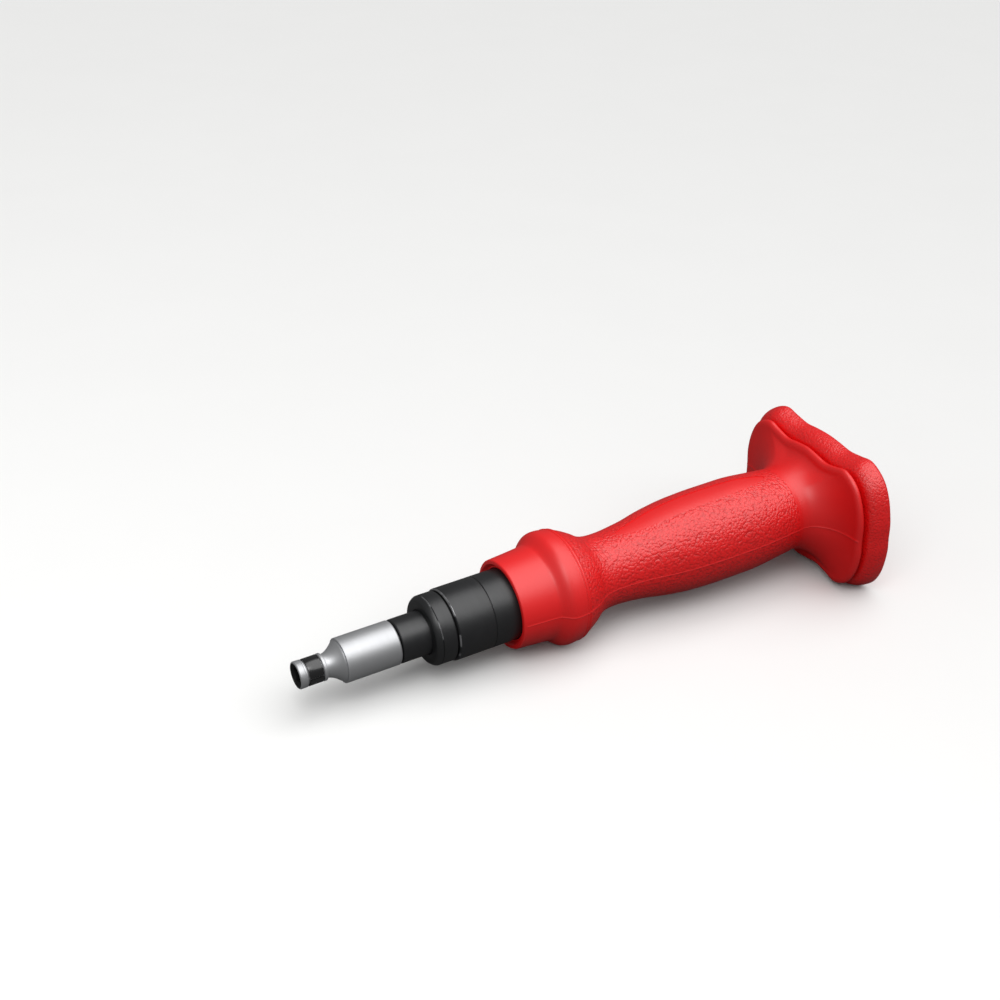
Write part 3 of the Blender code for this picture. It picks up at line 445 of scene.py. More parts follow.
def soft_pvc(name, colour, roughness, cell=0.0, height=0.0, painted_crease_shade=1.0):
    """Plasticised PVC, moulded: a full red that scatters softly, with a broad satin highlight.

    A grained mould gives it domes of this cell size and height, in millimetres, that meet in
    sharp creases. Painted shade darkens the creases to the last share given, and a painted
    highlight lightens the middle of each dome a little.
    """
    finish, tree, shader, place = new_finish(name)
    base = shaded(tree, place, colour, 0.03, 14.0)
    # The mould is blasted: a faint grit that only breaks up the highlight
    grit = add(tree, "TexNoise", {"Vector": place, "Scale": every(0.5), "Detail": 2.0})
    faint = {"Height": grit.outputs["Fac"], "Strength": 0.5, "Distance": 0.012 * MM}
    normal = add(tree, "Bump", faint).outputs["Normal"]
    if cell:
        fall = cells_and_creases(tree, place, cell)
        dome = add(tree, "Math", {0: 1.0, 1: fall}, operation="SUBTRACT").outputs[0]
        domes = {"Height": dome, "Strength": 1.0, "Distance": height * MM, "Normal": normal}
        normal = add(tree, "Bump", domes).outputs["Normal"]
        # Painted shade and painted highlight: the colour darkens towards each crease and is a
        # little lighter at each dome's middle
        crease_shade_level = add(
            tree,
            "MapRange",
            {"Value": fall, "From Min": 0.12, "From Max": 0.55, "To Min": 1.04, "To Max": painted_crease_shade},
        )
        crease_shaded = {"Color": base, "Value": crease_shade_level.outputs["Result"]}
        base = add(tree, "HueSaturation", crease_shaded).outputs["Color"]
    feed(tree, shader, {
        "Base Color": base, "Normal": normal, "Roughness": roughness, "IOR": 1.53,
        "Specular IOR Level": 0.85,
    })
    return finish


def turned_steel(name, colour, worn, roughness, metallic, ring, depth):
    """Turned steel under its coating: rings of the tool's feed, lighter where it is rubbed."""
    finish, tree, shader, place = new_finish(name)
    # Along the axis only: each ring goes once round the piece
    along = add(tree, "Mapping", {"Vector": place, "Scale": (1, 0.02, 0.02)}).outputs["Vector"]
    rings = add(tree, "TexNoise", {"Vector": along, "Scale": every(ring), "Detail": 2.0})
    rings = rings.outputs["Fac"]
    base = rgba(colour)
    if worn is not None:
        cloud = add(tree, "TexNoise", {"Vector": place, "Scale": every(6.0), "Detail": 4.0})
        rub = add(
            tree,
            "MapRange",
            {"Value": cloud.outputs["Fac"], "From Min": 0.5, "From Max": 0.85, "To Max": 0.3},
        )
        coats = {0: rub.outputs["Result"], 6: rgba(colour), 7: rgba(worn)}
        base = add(tree, "Mix", coats, data_type="RGBA").outputs[2]
    gloss = add(
        tree,
        "MapRange",
        {"Value": rings, "From Min": 0.25, "From Max": 0.75,
         "To Min": roughness - 0.03, "To Max": roughness + 0.04},
    )
    bump = add(tree, "Bump", {"Height": rings, "Strength": 0.5, "Distance": depth * MM})
    feed(tree, shader, {
        "Base Color": base, "Roughness": gloss.outputs["Result"],
        "Normal": bump.outputs["Normal"], "Metallic": metallic, "Specular IOR Level": 1.0,
    })
    return finish


def rubbed_glinting_edge(name, colour, bare):
    """A turned edge in black oxide, rubbed through to bright steel here and there; the bright
    patches also paint the glints on these chamfers.
    """
    finish, tree, shader, place = new_finish(name)
    patches = add(tree, "TexNoise", {"Vector": place, "Scale": every(11.0), "Detail": 2.0})
    through = add(
        tree, "MapRange", {"Value": patches.outputs["Fac"], "From Min": 0.52, "From Max": 0.6}
    ).outputs["Result"]
    base = add(tree, "Mix", {0: through, 6: rgba(colour), 7: rgba(bare)}, data_type="RGBA")
    feed(tree, shader, {"Base Color": base.outputs[2], "Metallic": through, "Roughness": 0.36})
    return finish


def fine_finish(name, colour, roughness, metallic, size, spread, depth, shine=0.5):
    """A small part's finish: its colour in soft clouds of this size, and a fine relief."""
    finish, tree, shader, place = new_finish(name)
    grit = add(tree, "TexNoise", {"Vector": place, "Scale": every(size / 4), "Detail": 3.0})
    relief = {"Height": grit.outputs["Fac"], "Strength": 0.5, "Distance": depth * MM}
    feed(tree, shader, {
        "Base Color": shaded(tree, place, colour, spread, size),
        "Normal": add(tree, "Bump", relief).outputs["Normal"],
        "Roughness": roughness, "Metallic": metallic, "Specular IOR Level": shine,
    })
    return finish


# Each finish: its maker, its colours in the panel (None where it has no worn one), and the
# maker's other values in their order, with sizes in millimetres
FINISHES = {
    # PVC from a blasted mould: even and satin
    "satin_red_pvc": (soft_pvc, ["soft_red"], 0.44),
    # PVC from a leather-grained mould: fine wandering creases that break up the highlight, with
    # painted shade in them
    "leather_grain_pvc": (soft_pvc, ["soft_red"], 0.38, 1.3, 0.3, 0.86),
    # PVC from a pebbled mould: small round grains, with painted shade between them
    "pebbled_pvc": (soft_pvc, ["soft_red"], 0.38, 1.0, 0.22, 0.92),
    # Black oxide on turned steel: dark, oily and satin
    "blackened_steel": (turned_steel, ["black_oxide", "oxide_worn"], 0.42, 0.15, 0.5, 0.002),
    # Black oxide on an edge, rubbed through: bright in places, as wear and as painted glints
    "rubbed_oxide_edge": (rubbed_glinting_edge, ["black_oxide", "bare_edge_glint"]),
    # Satin chrome over fine turning: pale, with a broad soft highlight
    "satin_chrome_plate": (turned_steel, ["chrome", None], 0.5, 0.9, 0.4, 0.0006),
    # Chrome doesn't reach into the sockets: bare steel there, painted near-black as the shade in
    # these recesses
    "bare_socket_steel": (fine_finish, ["socket"], 0.45, 0.7, 2.0, 0.12, 0.006),
    # Forged, then turned: dull, with dark scale left on it
    "scaled_forged_steel": (turned_steel, ["forged", "ground"], 0.5, 0.5, 0.7, 0.02),
    # Enamelled spring steel: black with a tight highlight
    "gloss_black_spring_band": (fine_finish, ["band_black"], 0.24, 0.0, 4.0, 0.1, 0.001, 1.0),
    # Ground and hardened: bright and almost a mirror
    "bright_ground_steel": (fine_finish, ["ground"], 0.22, 1.0, 2.0, 0.05, 0.004),
    # Drawn through a die: grey, with a dull shine
    "drawn_spring_wire": (fine_finish, ["spring"], 0.34, 1.0, 1.5, 0.1, 0.006),
    # Moulded nitrile rubber: matte black
    "nitrile_rubber": (fine_finish, ["rubber"], 0.6, 0.0, 2.0, 0.12, 0.01),
    # Nickel on a sintered magnet: warm and bright
    "nickel_plated_magnet": (fine_finish, ["nickel"], 0.24, 1.0, 2.0, 0.06, 0.004),
}


def finish_named(name):
    """The finish of that name, made once from the colours in the panel."""
    found = bpy.data.materials.get(name)
    if found:
        return found
    maker, colours, *values = FINISHES[name]
    panel = bpy.context.scene.driver_colours
    paints = (getattr(panel, colour) if colour else None for colour in colours)
    return maker(name, *paints, *values)


# ---- Pieces


def guard_outline(shares, half_width, half_height, count):
    """Evenly spaced (y, z) points on the closed curve through the outline's shares."""
    quarter = [(half_width * y, half_height * z) for y, z in shares]
    top = quarter + [(-y, z) for y, z in reversed(quarter[:-1])]
    whole = [Vector(p) for p in top + [(y, -z) for y, z in reversed(top[1:-1])]]
    fine = []
    for i, begin in enumerate(whole):
        before, end, after = whole[i - 1], whole[(i + 1) % len(whole)], whole[(i + 2) % len(whole)]
        for step in range(24):
            t = step / 24
            bend = (2 * before - 5 * begin + 4 * end - after) * t * t
            twist = (3 * begin - before - 3 * end + after) * t**3
            fine.append((2 * begin + (end - before) * t + bend + twist) / 2)
    lengths = [0.0]
    for begin, end in zip(fine, fine[1:] + fine[:1]):
        lengths.append(lengths[-1] + (end - begin).length)
    outline = []
    spot = 0
    for i in range(count):
        target = lengths[-1] * i / count
        while lengths[spot + 1] < target:
            spot += 1
        share = (target - lengths[spot]) / (lengths[spot + 1] - lengths[spot])
        outline.append(fine[spot].lerp(fine[(spot + 1) % len(fine)], share))
    return outline


def end_face(side):
    """Selects the guard's large end face: the front one for side 1, the rear one for -1."""
    pick("faces", lambda f: len(f.verts) > 8 and f.normal.x * side > 0.5)


def step_in(side, places):
    """Draws the end face on through (x, inset) places, evenly in from the outline."""
    end_face(side)
    for (x0, inset0), (x1, inset1) in zip(places, places[1:]):
        bpy.ops.mesh.inset(thickness=inset1 - inset0, depth=abs(x1 - x0), use_even_offset=True)


def rounded(x, depth, inset, span=math.pi / 2, steps=9):
    """(x, inset) places on a rounding that goes from x towards its depth and its inset."""
    leans = [span * i / steps for i in range(steps + 1)]
    return [(x + depth * math.sin(a), inset * (1 - math.cos(a))) for a in leans]


def guard_shell(name, shares, size, crest, rear, front):
    """The skin of a guard layer, from its rim inwards through the places of its two sides.

    size holds its half width and half height. It stays open round the axis.
    """
    sides = bpy.context.scene.driver_grip.sides
    upright = (0, math.pi / 2, 0)
    shell = primitive(
        "circle", vertices=sides, radius=size[0], fill_type="NGON", rotation=upright
    )
    shell.name = shell.data.name = name
    outline = guard_outline(shares, *size, sides)
    # The circle's corners move onto the outline, each to the point at its own share of the way
    for corner in shell.data.vertices:
        turn = math.atan2(corner.co.z, corner.co.y) % math.tau
        y, z = outline[round(turn / math.tau * sides) % sides]
        corner.co = (crest - RIM, y, z)
    mode("EDIT")
    pick_all()
    draw_on(RIM, 0, 0)
    mend()
    step_in(-1, rear)
    step_in(1, front)
    for side in (-1, 1):
        end_face(side)
        bpy.ops.mesh.delete(type="ONLY_FACE")
    mode("OBJECT")
    return shell


def at(x, low=0.0, high=1.0):
    """A test for corners at x whose distance from the axis lies between low and high."""
    return lambda co: abs(co.x - x) < AT and low <= math.hypot(co.y, co.z) <= high


def bridge(tests, cuts=0):
    """Bridges two open loops, each given as a test of its corners."""
    pick("edges", lambda e: e.is_boundary and any(
        all(test(v.co) for v in e.verts) for test in tests))
    bpy.ops.mesh.bridge_edge_loops(number_cuts=cuts, interpolation="LINEAR")


def close_end(x, side):
    """Closes one end between the outline and the bore, whose edge stands proud of it."""
    bridge([at(x + side * PAST, 0, 1.05 * SHANK_BORE), at(x, 1.5 * SHANK_BORE)])
    pick("verts", lambda v: side * (v.co.x - x) > -WELD)
    bpy.ops.transform.resize(value=(0, 1, 1), center_override=(x, 0, 0))


def smooth_row(points, pace):
    """Points about pace apart on a cubic through (x, radius) points, that never overshoots."""
    slopes = [(b[1] - a[1]) / (b[0] - a[0]) for a, b in zip(points, points[1:])]
    tangents = [slopes[0]]
    for left, right in zip(slopes, slopes[1:]):
        tangents.append(0 if left * right <= 0 else 2 * left * right / (left + right))
    tangents.append(slopes[-1])
    row = []
    for i, ((x0, y0), (x1, y1)) in enumerate(zip(points, points[1:])):
        width = x1 - x0
        steps = max(1, round(width / pace))
        for step in range(steps):
            t = step / steps
            radius = (1 + 2 * t) * (1 - t) ** 2 * y0 + t * (1 - t) ** 2 * width * tangents[i]
            radius += t * t * (3 - 2 * t) * y1
            radius += t * t * (t - 1) * width * tangents[i + 1]
            row.append((x0 + t * width, radius))
    row.append(points[-1])
    return row


class DRIVER_OT_guard_pad(Operator):
    """Models the pebbled rear layer of the guard"""

    bl_idname = "impact_driver.guard_pad"
    bl_label = "Guard Pad"

    def execute(self, context):
        grip = context.scene.driver_grip
        back, front = near("guard_pad"), far("guard_pad")
        crest = back + 2.5 * MM
        size = (grip.pad_half_width, grip.pad_half_height)
        rear_side = rounded(crest - RIM, -2.4 * MM, 2.5 * MM)
        front_side = rounded(crest, front - crest, 5.0 * MM)
        pad = guard_shell(
            "pebbled_guard_pad", PAD_OUTLINE_SHARES, size, crest, rear_side, front_side
        )
        join(pad, turned("pad_bore", [(front + PAST, SHANK_BORE), (back - PAST, SHANK_BORE)]))
        mode("EDIT")
        close_end(front, 1)
        close_end(back, -1)
        mend()
        mode("OBJECT")
        dress(pad, "pebbled_pvc")
        hand_over(pad, "housing", "guard_pad")
        return {"FINISHED"}


def handle_section(grip, back, front):
    """The grip's round part as (x, radius): handle, ridge, bell, lip and the bores behind it."""
    flare_end = back + 17.9 * MM
    handle = front - flare_end
    waist, palm, ridge = grip.waist_radius, grip.palm_radius, grip.ridge_radius
    # Stretches between two radii, each with its (place, share of the way) pairs
    stretches = (
        (grip.tail_radius, palm, ((0.0, 0), (0.053, 0.35), (0.185, 1), (0.278, 1))),
        (palm, waist, ((0.371, 0.08), (0.464, 0.35), (0.557, 0.79), (0.648, 1))),
        (waist, ridge, ((0.668, 0.008), (0.690, 0.05), (0.716, 0.19), (0.743, 0.48),
                        (0.776, 0.77), (0.798, 0.9), (0.817, 0.975), (0.832, 1))),
    )
    places = [
        (place, begin + (end - begin) * share)
        for begin, end, pairs in stretches
        for place, share in pairs
    ]
    # The ridge's front flank: full at the crest, with a tight hollow at the bell
    crest, flank, steps, fullness = 0.832, 0.056, 16, 1.55
    for i in range(1, steps + 1):
        fall = (1 - math.cos(math.pi * (i / steps) ** fullness)) / 2
        places.append((crest + flank * i / steps, ridge - (ridge - grip.bell_radius) * fall))
    row = [(flare_end + handle * place, radius) for place, radius in places]
    lip, rounding = grip.lip_radius, grip.lip_rounding
    row.append((front - rounding, lip + rounding))
    row = smooth_row(row, 0.8 * MM)
    # The grained skin stands a little proud, and two fine beads close it below the ridge
    bead_gap, bead_width, skin_ramp = 1.6 * MM, 0.3 * MM, 0.15 * MM
    beads = (grip.grain_end, grip.grain_end + bead_gap)
    margin = 2 * skin_ramp
    row = refine(row, grip.grain_start - margin, grip.grain_start + margin, 0.1 * MM)
    margin = 3 * bead_width
    row = refine(row, beads[0] - margin, beads[1] + margin, 0.09 * MM)
    raised = []
    for x, radius in row:
        if x < grip.grain_end:
            rise = min(1, max(0, (x - grip.grain_start) / skin_ramp))
            radius += grip.grain_height * rise
        swell = sum(math.exp(-(((x - bead) / bead_width) ** 2)) for bead in beads)
        raised.append((x, radius + grip.bead_height * swell))
    for i in range(1, 9):
        lean = math.pi / 2 * i / 8
        raised.append((front - rounding * (1 - math.sin(lean)), lip + rounding * math.cos(lean)))
    # The lip's face falls back to a thin edge that hugs the sleeve
    sleeve_bore = 16.7 * MM
    dish = front - grip.lip_dish
    edge = dish + 0.35 * MM
    return raised + [
        (front, lip - grip.lip_flat),
        (dish, sleeve_bore + 0.55 * MM),
        (dish, sleeve_bore + 0.4 * MM),
        (edge, sleeve_bore + 0.3 * MM),
        (edge, sleeve_bore + 0.12 * MM),
        (dish + 0.1 * MM, sleeve_bore),
        (SHANK_FRONT, sleeve_bore),
        (SHANK_FRONT, SHANK_BORE),
        (back - PAST, SHANK_BORE),
    ]


def refine(row, low, high, pace):
    """The row with extra points, pace apart, between low and high."""
    fine = []
    for (x0, r0), (x1, r1) in zip(row, row[1:]):
        steps = 1
        if x1 > low and x0 < high:
            steps = max(1, math.ceil((x1 - x0) / pace))
        for step in range(steps):
            t = step / steps
            fine.append((x0 + (x1 - x0) * t, r0 + (r1 - r0) * t))
    fine.append(row[-1])
    return fine


def raise_parting_line(piece, low, high, skin):
    """Raises the mould's parting line along both sides, from low to high along the axis."""
    grip = bpy.context.scene.driver_grip

    def on_line(vert):
        return abs(vert.co.z) < WELD and abs(vert.co.y) > skin and low < vert.co.x < high

    take(piece)
    mode("EDIT")
    pick("edges", lambda e: all(on_line(v) for v in e.verts))
    bpy.ops.mesh.bevel(offset=grip.seam_width, segments=2)
    pick("verts", on_line)
    bpy.ops.transform.shrink_fatten(value=grip.seam_height)
    mode("OBJECT")


def panel_form(row):
    """The form of the label panel: upright, with a floor just under the handle's skin."""
    grip = bpy.context.scene.driver_grip
    middle = (grip.panel_start + grip.panel_end) / 2
    to_side = 0.7 * MM
    bottom = (0, 0, grip.waist_radius / 2)
    form = primitive("circle", vertices=96, radius=1, fill_type="NGON", location=bottom)
    # The circle becomes a long lens with blunt ends, a little to the side of the top
    for corner in form.data.vertices:
        reach, spread = corner.co.xy
        taper = (1 - abs(reach) ** 2.6) ** 0.55
        side = math.copysign(1, spread) if abs(spread) > 1e-6 else 0
        corner.co.x = middle + reach * (grip.panel_end - grip.panel_start) / 2
        corner.co.y = to_side + side * taper * grip.panel_width / 2
    mode("EDIT")
    pick_all()
    draw_on(0, 0, grip.palm_radius)
    mend()
    mode("OBJECT")
    low, high = grip.panel_start - 2 * PAST, grip.panel_end + 2 * PAST
    floor = [(x, radius - grip.panel_depth) for x, radius in row if low < x < high]
    cut(form, turned("panel_floor", [(floor[0][0], 0), *floor, (floor[-1][0], 0)]))
    return form


class DRIVER_OT_hand_grip(Operator):
    """Models the moulded grip: front guard, flare, handle, thumb ridge, bell and lip"""

    bl_idname = "impact_driver.hand_grip"
    bl_label = "Hand Grip"

    def execute(self, context):
        grip = context.scene.driver_grip
        back, front = near("hand_grip"), far("hand_grip")
        crest = back + 3.0 * MM
        rounding = 1.6 * MM
        rim = crest + rounding
        size = (grip.front_half_width, grip.front_half_height)
        rear_side = rounded(crest - RIM, -rounding, rounding, math.pi / 3, 6)
        rear_side.append((back, 4.0 * MM))
        front_side = rounded(crest, rounding, 3.0 * MM)
        guard = guard_shell(
            "moulded_grip", FRONT_OUTLINE_SHARES, size, crest, rear_side, front_side
        )
        row = handle_section(grip, back, front)
        join(guard, turned("handle", row))
        mode("EDIT")
        close_end(back, -1)
        flare, cuts = 13.3 * MM, 40
        tail = grip.tail_radius
        bridge([at(rim, 1.2 * tail), at(rim + flare, 0, 1.05 * tail)], cuts)
        # Each ring of the flare moves along the axis onto a quarter round
        for i in range(1, cuts + 1):
            share = i / (cuts + 1)
            x = rim + flare * share
            lean = math.asin(share)
            pick("verts", lambda v, x=x: at(x)(v.co))
            bpy.ops.transform.translate(value=(rim + flare * (1 - math.cos(lean)) - x, 0, 0))
        mend()
        mode("OBJECT")
        skin = 1.4 * SHANK_BORE
        raise_parting_line(guard, crest + PAST, front - rounding, skin)
        dress(guard, "satin_red_pvc", "leather_grain_pvc")
        give_second_finish(
            guard,
            lambda x, radius, face: grip.grain_start + 0.1 * MM < x < grip.grain_end
            and radius > skin
            and abs(face.calc_center_median().z) > grip.seam_width,
        )
        cut(guard, dress(panel_form(row), "satin_red_pvc"))
        hand_over(guard, "housing", "hand_grip")
        return {"FINISHED"}


class DRIVER_OT_striking_head(Operator):
    """Models the forged striking head and its shank"""

    bl_idname = "impact_driver.striking_head"
    bl_label = "Striking Head"

    def execute(self, context):
        face = near("striking_head")
        disc, rim = 11.0 * MM, 17.0 * MM
        shank, tenon = 11.0 * MM, 8.0 * MM
        head = turned(
            "forged_striking_head",
            [
                (TENON_FRONT, 0), (TENON_FRONT, tenon), (SHANK_FRONT, tenon),
                (SHANK_FRONT, shank), (disc, shank), (disc, rim - 0.6 * MM),
                (disc - 0.6 * MM, rim), (face + 1.5 * MM, rim), (face, rim - 1.5 * MM),
                (face, 0),
            ],
            rounding=0.35 * MM,
        )
        dress(head, "scaled_forged_steel")
        hand_over(head, "housing", "striking_head")
        return {"FINISHED"}


def turned_line(x, radius, width, depth):
    """A fine line turned in a surface, from its front side to its rear side."""
    return [
        (x + width / 2, radius),
        (x + width * 0.2, radius - depth),
        (x - width * 0.2, radius - depth),
        (x - width / 2, radius),
    ]


class DRIVER_OT_housing(Operator):
    """Models the black housing sleeve"""

    bl_idname = "impact_driver.housing"
    bl_label = "Housing Sleeve"

    def execute(self, context):
        steel = context.scene.driver_steel
        back, front = near("housing_sleeve"), far("housing_sleeve")
        radius, tenon_bore = steel.sleeve_radius, 8.3 * MM
        sleeve = turned(
            "black_housing_sleeve",
            [
                (front, radius - 0.5 * MM), (front - 0.5 * MM, radius),
                *turned_line(steel.sleeve_groove, radius, steel.line_width, steel.line_depth),
                (back, radius), (back, tenon_bore), (TENON_FRONT, tenon_bore),
                (TENON_FRONT, HOUSING_BORE), (front, HOUSING_BORE),
            ],
            closed=True,
            rounding=0.1 * MM,
        )
        dress(sleeve, "blackened_steel", "rubbed_oxide_edge")
        # Painted glint: bright bare steel in patches on the front chamfer, also standing for wear
        rub_glinting_edges(sleeve, front - PAST, front + PAST, radius)
        hand_over(sleeve, "housing", "housing_sleeve")
        return {"FINISHED"}


class DRIVER_OT_collar(Operator):
    """Models the turning collar"""

    bl_idname = "impact_driver.collar"
    bl_label = "Front Collar"

    def execute(self, context):
        steel = context.scene.driver_steel
        back, front = near("front_collar"), far("front_collar")
        radius, bore = steel.collar_radius, 10.2 * MM
        # The rounded nose: shares of its length and of its fall
        nose = ((0, 1), (0.03, 0.88), (0.1, 0.75), (0.26, 0.53), (0.45, 0.36), (0.62, 0.22),
                (0.8, 0.1), (0.92, 0.035))
        nose_length, nose_fall = 2.4 * MM, 1.9 * MM
        groove, width = front - nose_length, steel.line_width
        floor = 226.5 * MM
        seal = (227.6 * MM, 229.6 * MM, 11.9 * MM)
        collar = turned(
            "black_front_collar",
            [
                *((front - nose_length * a, radius - nose_fall * b) for a, b in nose),
                (groove, radius), (groove - width * 0.35, radius - steel.line_depth),
                (groove - width * 0.65, radius - steel.line_depth),
                (groove - width, radius), (back + 0.4 * MM, radius),
                (back, radius - 0.4 * MM), (back, HOUSING_BORE), (floor, HOUSING_BORE),
                (floor, bore), (seal[0], bore), (seal[0], seal[2]),
                (seal[1], seal[2]), (seal[1], bore), (front, bore),
            ],
            closed=True,
            rounding=0.06 * MM,
        )
        dress(collar, "blackened_steel", "rubbed_oxide_edge")
        # Painted glint: bright bare steel in patches on the groove's chamfers, also standing for
        # wear
        rub_glinting_edges(collar, groove - width, groove, radius)
        hand_over(collar, "selector", "front_collar")
        return {"FINISHED"}


class DRIVER_OT_spindle(Operator):
    """Models the spindle: cam head, neck and square drive"""

    bl_idname = "impact_driver.spindle"
    bl_label = "Spindle"

    def execute(self, context):
        steel = context.scene.driver_steel
        back, front = near("anvil_spindle"), far("anvil_spindle")
        neck, shoulder = steel.neck_radius, 244.0 * MM
        cam_back, cam_front, cam = 198.0 * MM, 226.2 * MM, 11.0 * MM
        stub = 5.0 * MM
        spindle = turned(
            "black_spindle",
            [
                (shoulder, 0), (shoulder, neck - 0.4 * MM), (shoulder - 0.4 * MM, neck),
                (cam_front, neck), (cam_front, cam), (cam_back, cam),
                (cam_back, stub), (back, stub), (back, 0),
            ],
            rounding=0.1 * MM,
        )
        drive = square_bar(shoulder - PAST, front, steel.drive_side, 1.6 * MM)
        mode("EDIT")
        pick("edges", lambda e: all(v.co.x > front - WELD for v in e.verts))
        bpy.ops.mesh.bevel(offset=0.8 * MM, segments=2)
        mode("OBJECT")
        cut(spindle, drive, operation="UNION")
        ball = rod(251.5 * MM, 1.9 * MM, -8.0 * MM, -1.1 * MM)
        pin_x, pin_reach = 210.0 * MM, 13.0 * MM
        pin = rod(pin_x, 2.8 * MM, -pin_reach, pin_reach)
        take(pin)
        mode("EDIT")
        pick_all()
        quarter = math.pi / 2
        bpy.ops.transform.rotate(value=quarter, orient_axis="X", center_override=(pin_x, 0, 0))
        mode("OBJECT")
        cut(spindle, ball, pin)
        dress(spindle, "blackened_steel")
        hand_over(spindle, "spindle", "anvil_spindle")
        return {"FINISHED"}


class DRIVER_OT_bit_holder(Operator):
    """Models the chrome bit holder with its hex and square sockets"""

    bl_idname = "impact_driver.bit_holder"
    bl_label = "Bit Holder"

    def execute(self, context):
        steel = context.scene.driver_steel
        back, front = near("bit_holder"), far("bit_holder")
        radius, nose, throat = steel.holder_radius, steel.nose_radius, steel.throat_radius
        barrel, undercut = 270.0 * MM, radius - 1.0 * MM
        # The throat flares up to a fine undercut behind the barrel's edge
        flare, rise = 277.3 * MM, radius - 0.75 * MM - throat
        sweep = [
            (flare - 7.05 * MM * i / 16, throat + rise * (i / 16) ** 1.7) for i in range(1, 17)
        ]
        # The band's seat lies between a lip in front and a ring behind
        lip, seat_front, seat_back = nose - 0.2 * MM, front - 3.4 * MM, 279.1 * MM
        holder = turned(
            "chrome_bit_holder",
            [
                (front, 0), (front, nose - 0.5 * MM), (front - 0.15 * MM, lip),
                (front - 0.5 * MM, nose), (front - 2.5 * MM, nose),
                (front - 2.6 * MM, lip), (front - 2.8 * MM, lip),
                (front - 2.9 * MM, nose - 0.05 * MM), (seat_front, nose - 0.05 * MM),
                (seat_front, throat), (seat_back, throat), (seat_back, nose - 0.3 * MM),
                (seat_back - 0.35 * MM, nose), (flare + 0.55 * MM, nose),
                (flare + 0.25 * MM, nose - 0.25 * MM), (flare, throat),
                *sweep,
                (barrel + 0.15 * MM, undercut), (barrel, undercut),
                (barrel, radius - 0.3 * MM), (barrel - 0.3 * MM, radius),
                (back + 0.6 * MM, radius), (back, radius - 0.6 * MM), (back, 0),
            ],
            rounding=0.06 * MM,
        )
        mouth, floor = front + PAST, front - 13.0 * MM
        hexagon = primitive(
            "cylinder",
            vertices=6,
            radius=steel.hex_side_to_side / 2 / math.cos(math.pi / 6),
            depth=mouth - floor,
            location=((mouth + floor) / 2, 0, 0),
            rotation=(0, math.pi / 2, 0),
        )
        cone_end, wide, narrow = front - 1.6 * MM, 6.5 * MM, 3.9 * MM
        funnel = turned(
            "mouth_form", [(mouth, 0), (mouth, wide), (cone_end, narrow), (cone_end, 0)], sides=96
        )
        top, bottom, wide = floor + 4.0 * MM, 274.2 * MM, 3.5 * MM
        seat = turned(
            "magnet_form", [(top, 0), (top, wide), (bottom, wide), (bottom, 0)], sides=64
        )
        socket = square_bar(back - PAST, 261.0 * MM, steel.drive_side + 0.6 * MM, 1.6 * MM)
        ball_x, depth = 282.6 * MM, -8.0 * MM
        tools = (hexagon, funnel, seat, socket, rod(ball_x, 1.2 * MM, depth, 0.0))
        dress(holder, "satin_chrome_plate")
        # Painted shade: the sockets, the mouth and the magnet's seat are near-black
        for tool in tools:
            dress(tool, "bare_socket_steel")
        cut(holder, *tools)
        hand_over(holder, "holder", "bit_holder")

        ends = (285.8 * MM, 279.4 * MM)
        outside, inside = 6.0 * MM, 5.5 * MM
        band = turned(
            "black_spring_band",
            [(ends[0], outside), (ends[1], outside), (ends[1], inside), (ends[0], inside)],
            closed=True,
            rounding=0.12 * MM,
        )
        split = primitive(
            "cube", size=1, location=(ball_x, 5.0 * MM, 0), scale=(8 * MM, 8 * MM, 0.8 * MM)
        )
        cut(band, split, rod(ball_x, 0.7 * MM, depth, 0.0))
        dress(band, "gloss_black_spring_band")
        hand_over(band, "holder", "bit_band")
        return {"FINISHED"}


# Steps of wire in one turn of a spring
COIL_STEPS = 24


def wound(name, first, centre, axis, wire, turns):
    """A round wire that is wound round the axis step by step; turns holds each turn's rise."""
    turn = (0, 0, 0) if axis == "X" else (math.pi / 2, 0, 0)
    coil = primitive(
        "circle", vertices=16, radius=wire, fill_type="NGON", location=first, rotation=turn
    )
    coil.name = coil.data.name = name
    mode("EDIT")
    pick_all()
    lean = -math.tau / COIL_STEPS
    for rise in turns:
        step = rise / COIL_STEPS
        for _ in range(COIL_STEPS):
            draw_on(*((step, 0, 0) if axis == "X" else (0, 0, step)))
            bpy.ops.transform.rotate(value=lean, orient_axis=axis, center_override=centre)
    mend()
    mode("OBJECT")
    return dress(coil, "drawn_spring_wire")


def press(spring):
    """Gives the spring a mesh of its own."""
    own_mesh(spring)


class DRIVER_OT_springs(Operator):
    """Models the main spring and the small spring under the drive's ball"""

    bl_idname = "impact_driver.springs"
    bl_label = "Springs"

    def execute(self, context):
        low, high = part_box("main_spring")
        wire = 1.2 * MM
        radius = high.y - wire
        # One close turn at each end and two open ones between
        close = 2 * wire + 0.5 * MM
        open_turn = (high.x - low.x - 2 * wire - 2 * close) / 2
        turns = (close, open_turn, open_turn, close)
        first = (low.x + wire, radius, 0)
        spring = wound("main_coil_spring", first, (0, 0, 0), "X", wire, turns)
        hand_over(spring, "housing", "main_spring")
        press(spring)

        low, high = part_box("drive_ball_spring")
        wire = 0.25 * MM
        middle = (low.x + high.x) / 2
        rise = (low.z - high.z + 2 * wire) / 2
        first = (high.x - wire, 0, high.z - wire)
        spring = wound("ball_coil_spring", first, (middle, 0, 0), "Z", wire, (rise, rise))
        hand_over(spring, "spindle", "drive_ball_spring")
        press(spring)
        return {"FINISHED"}


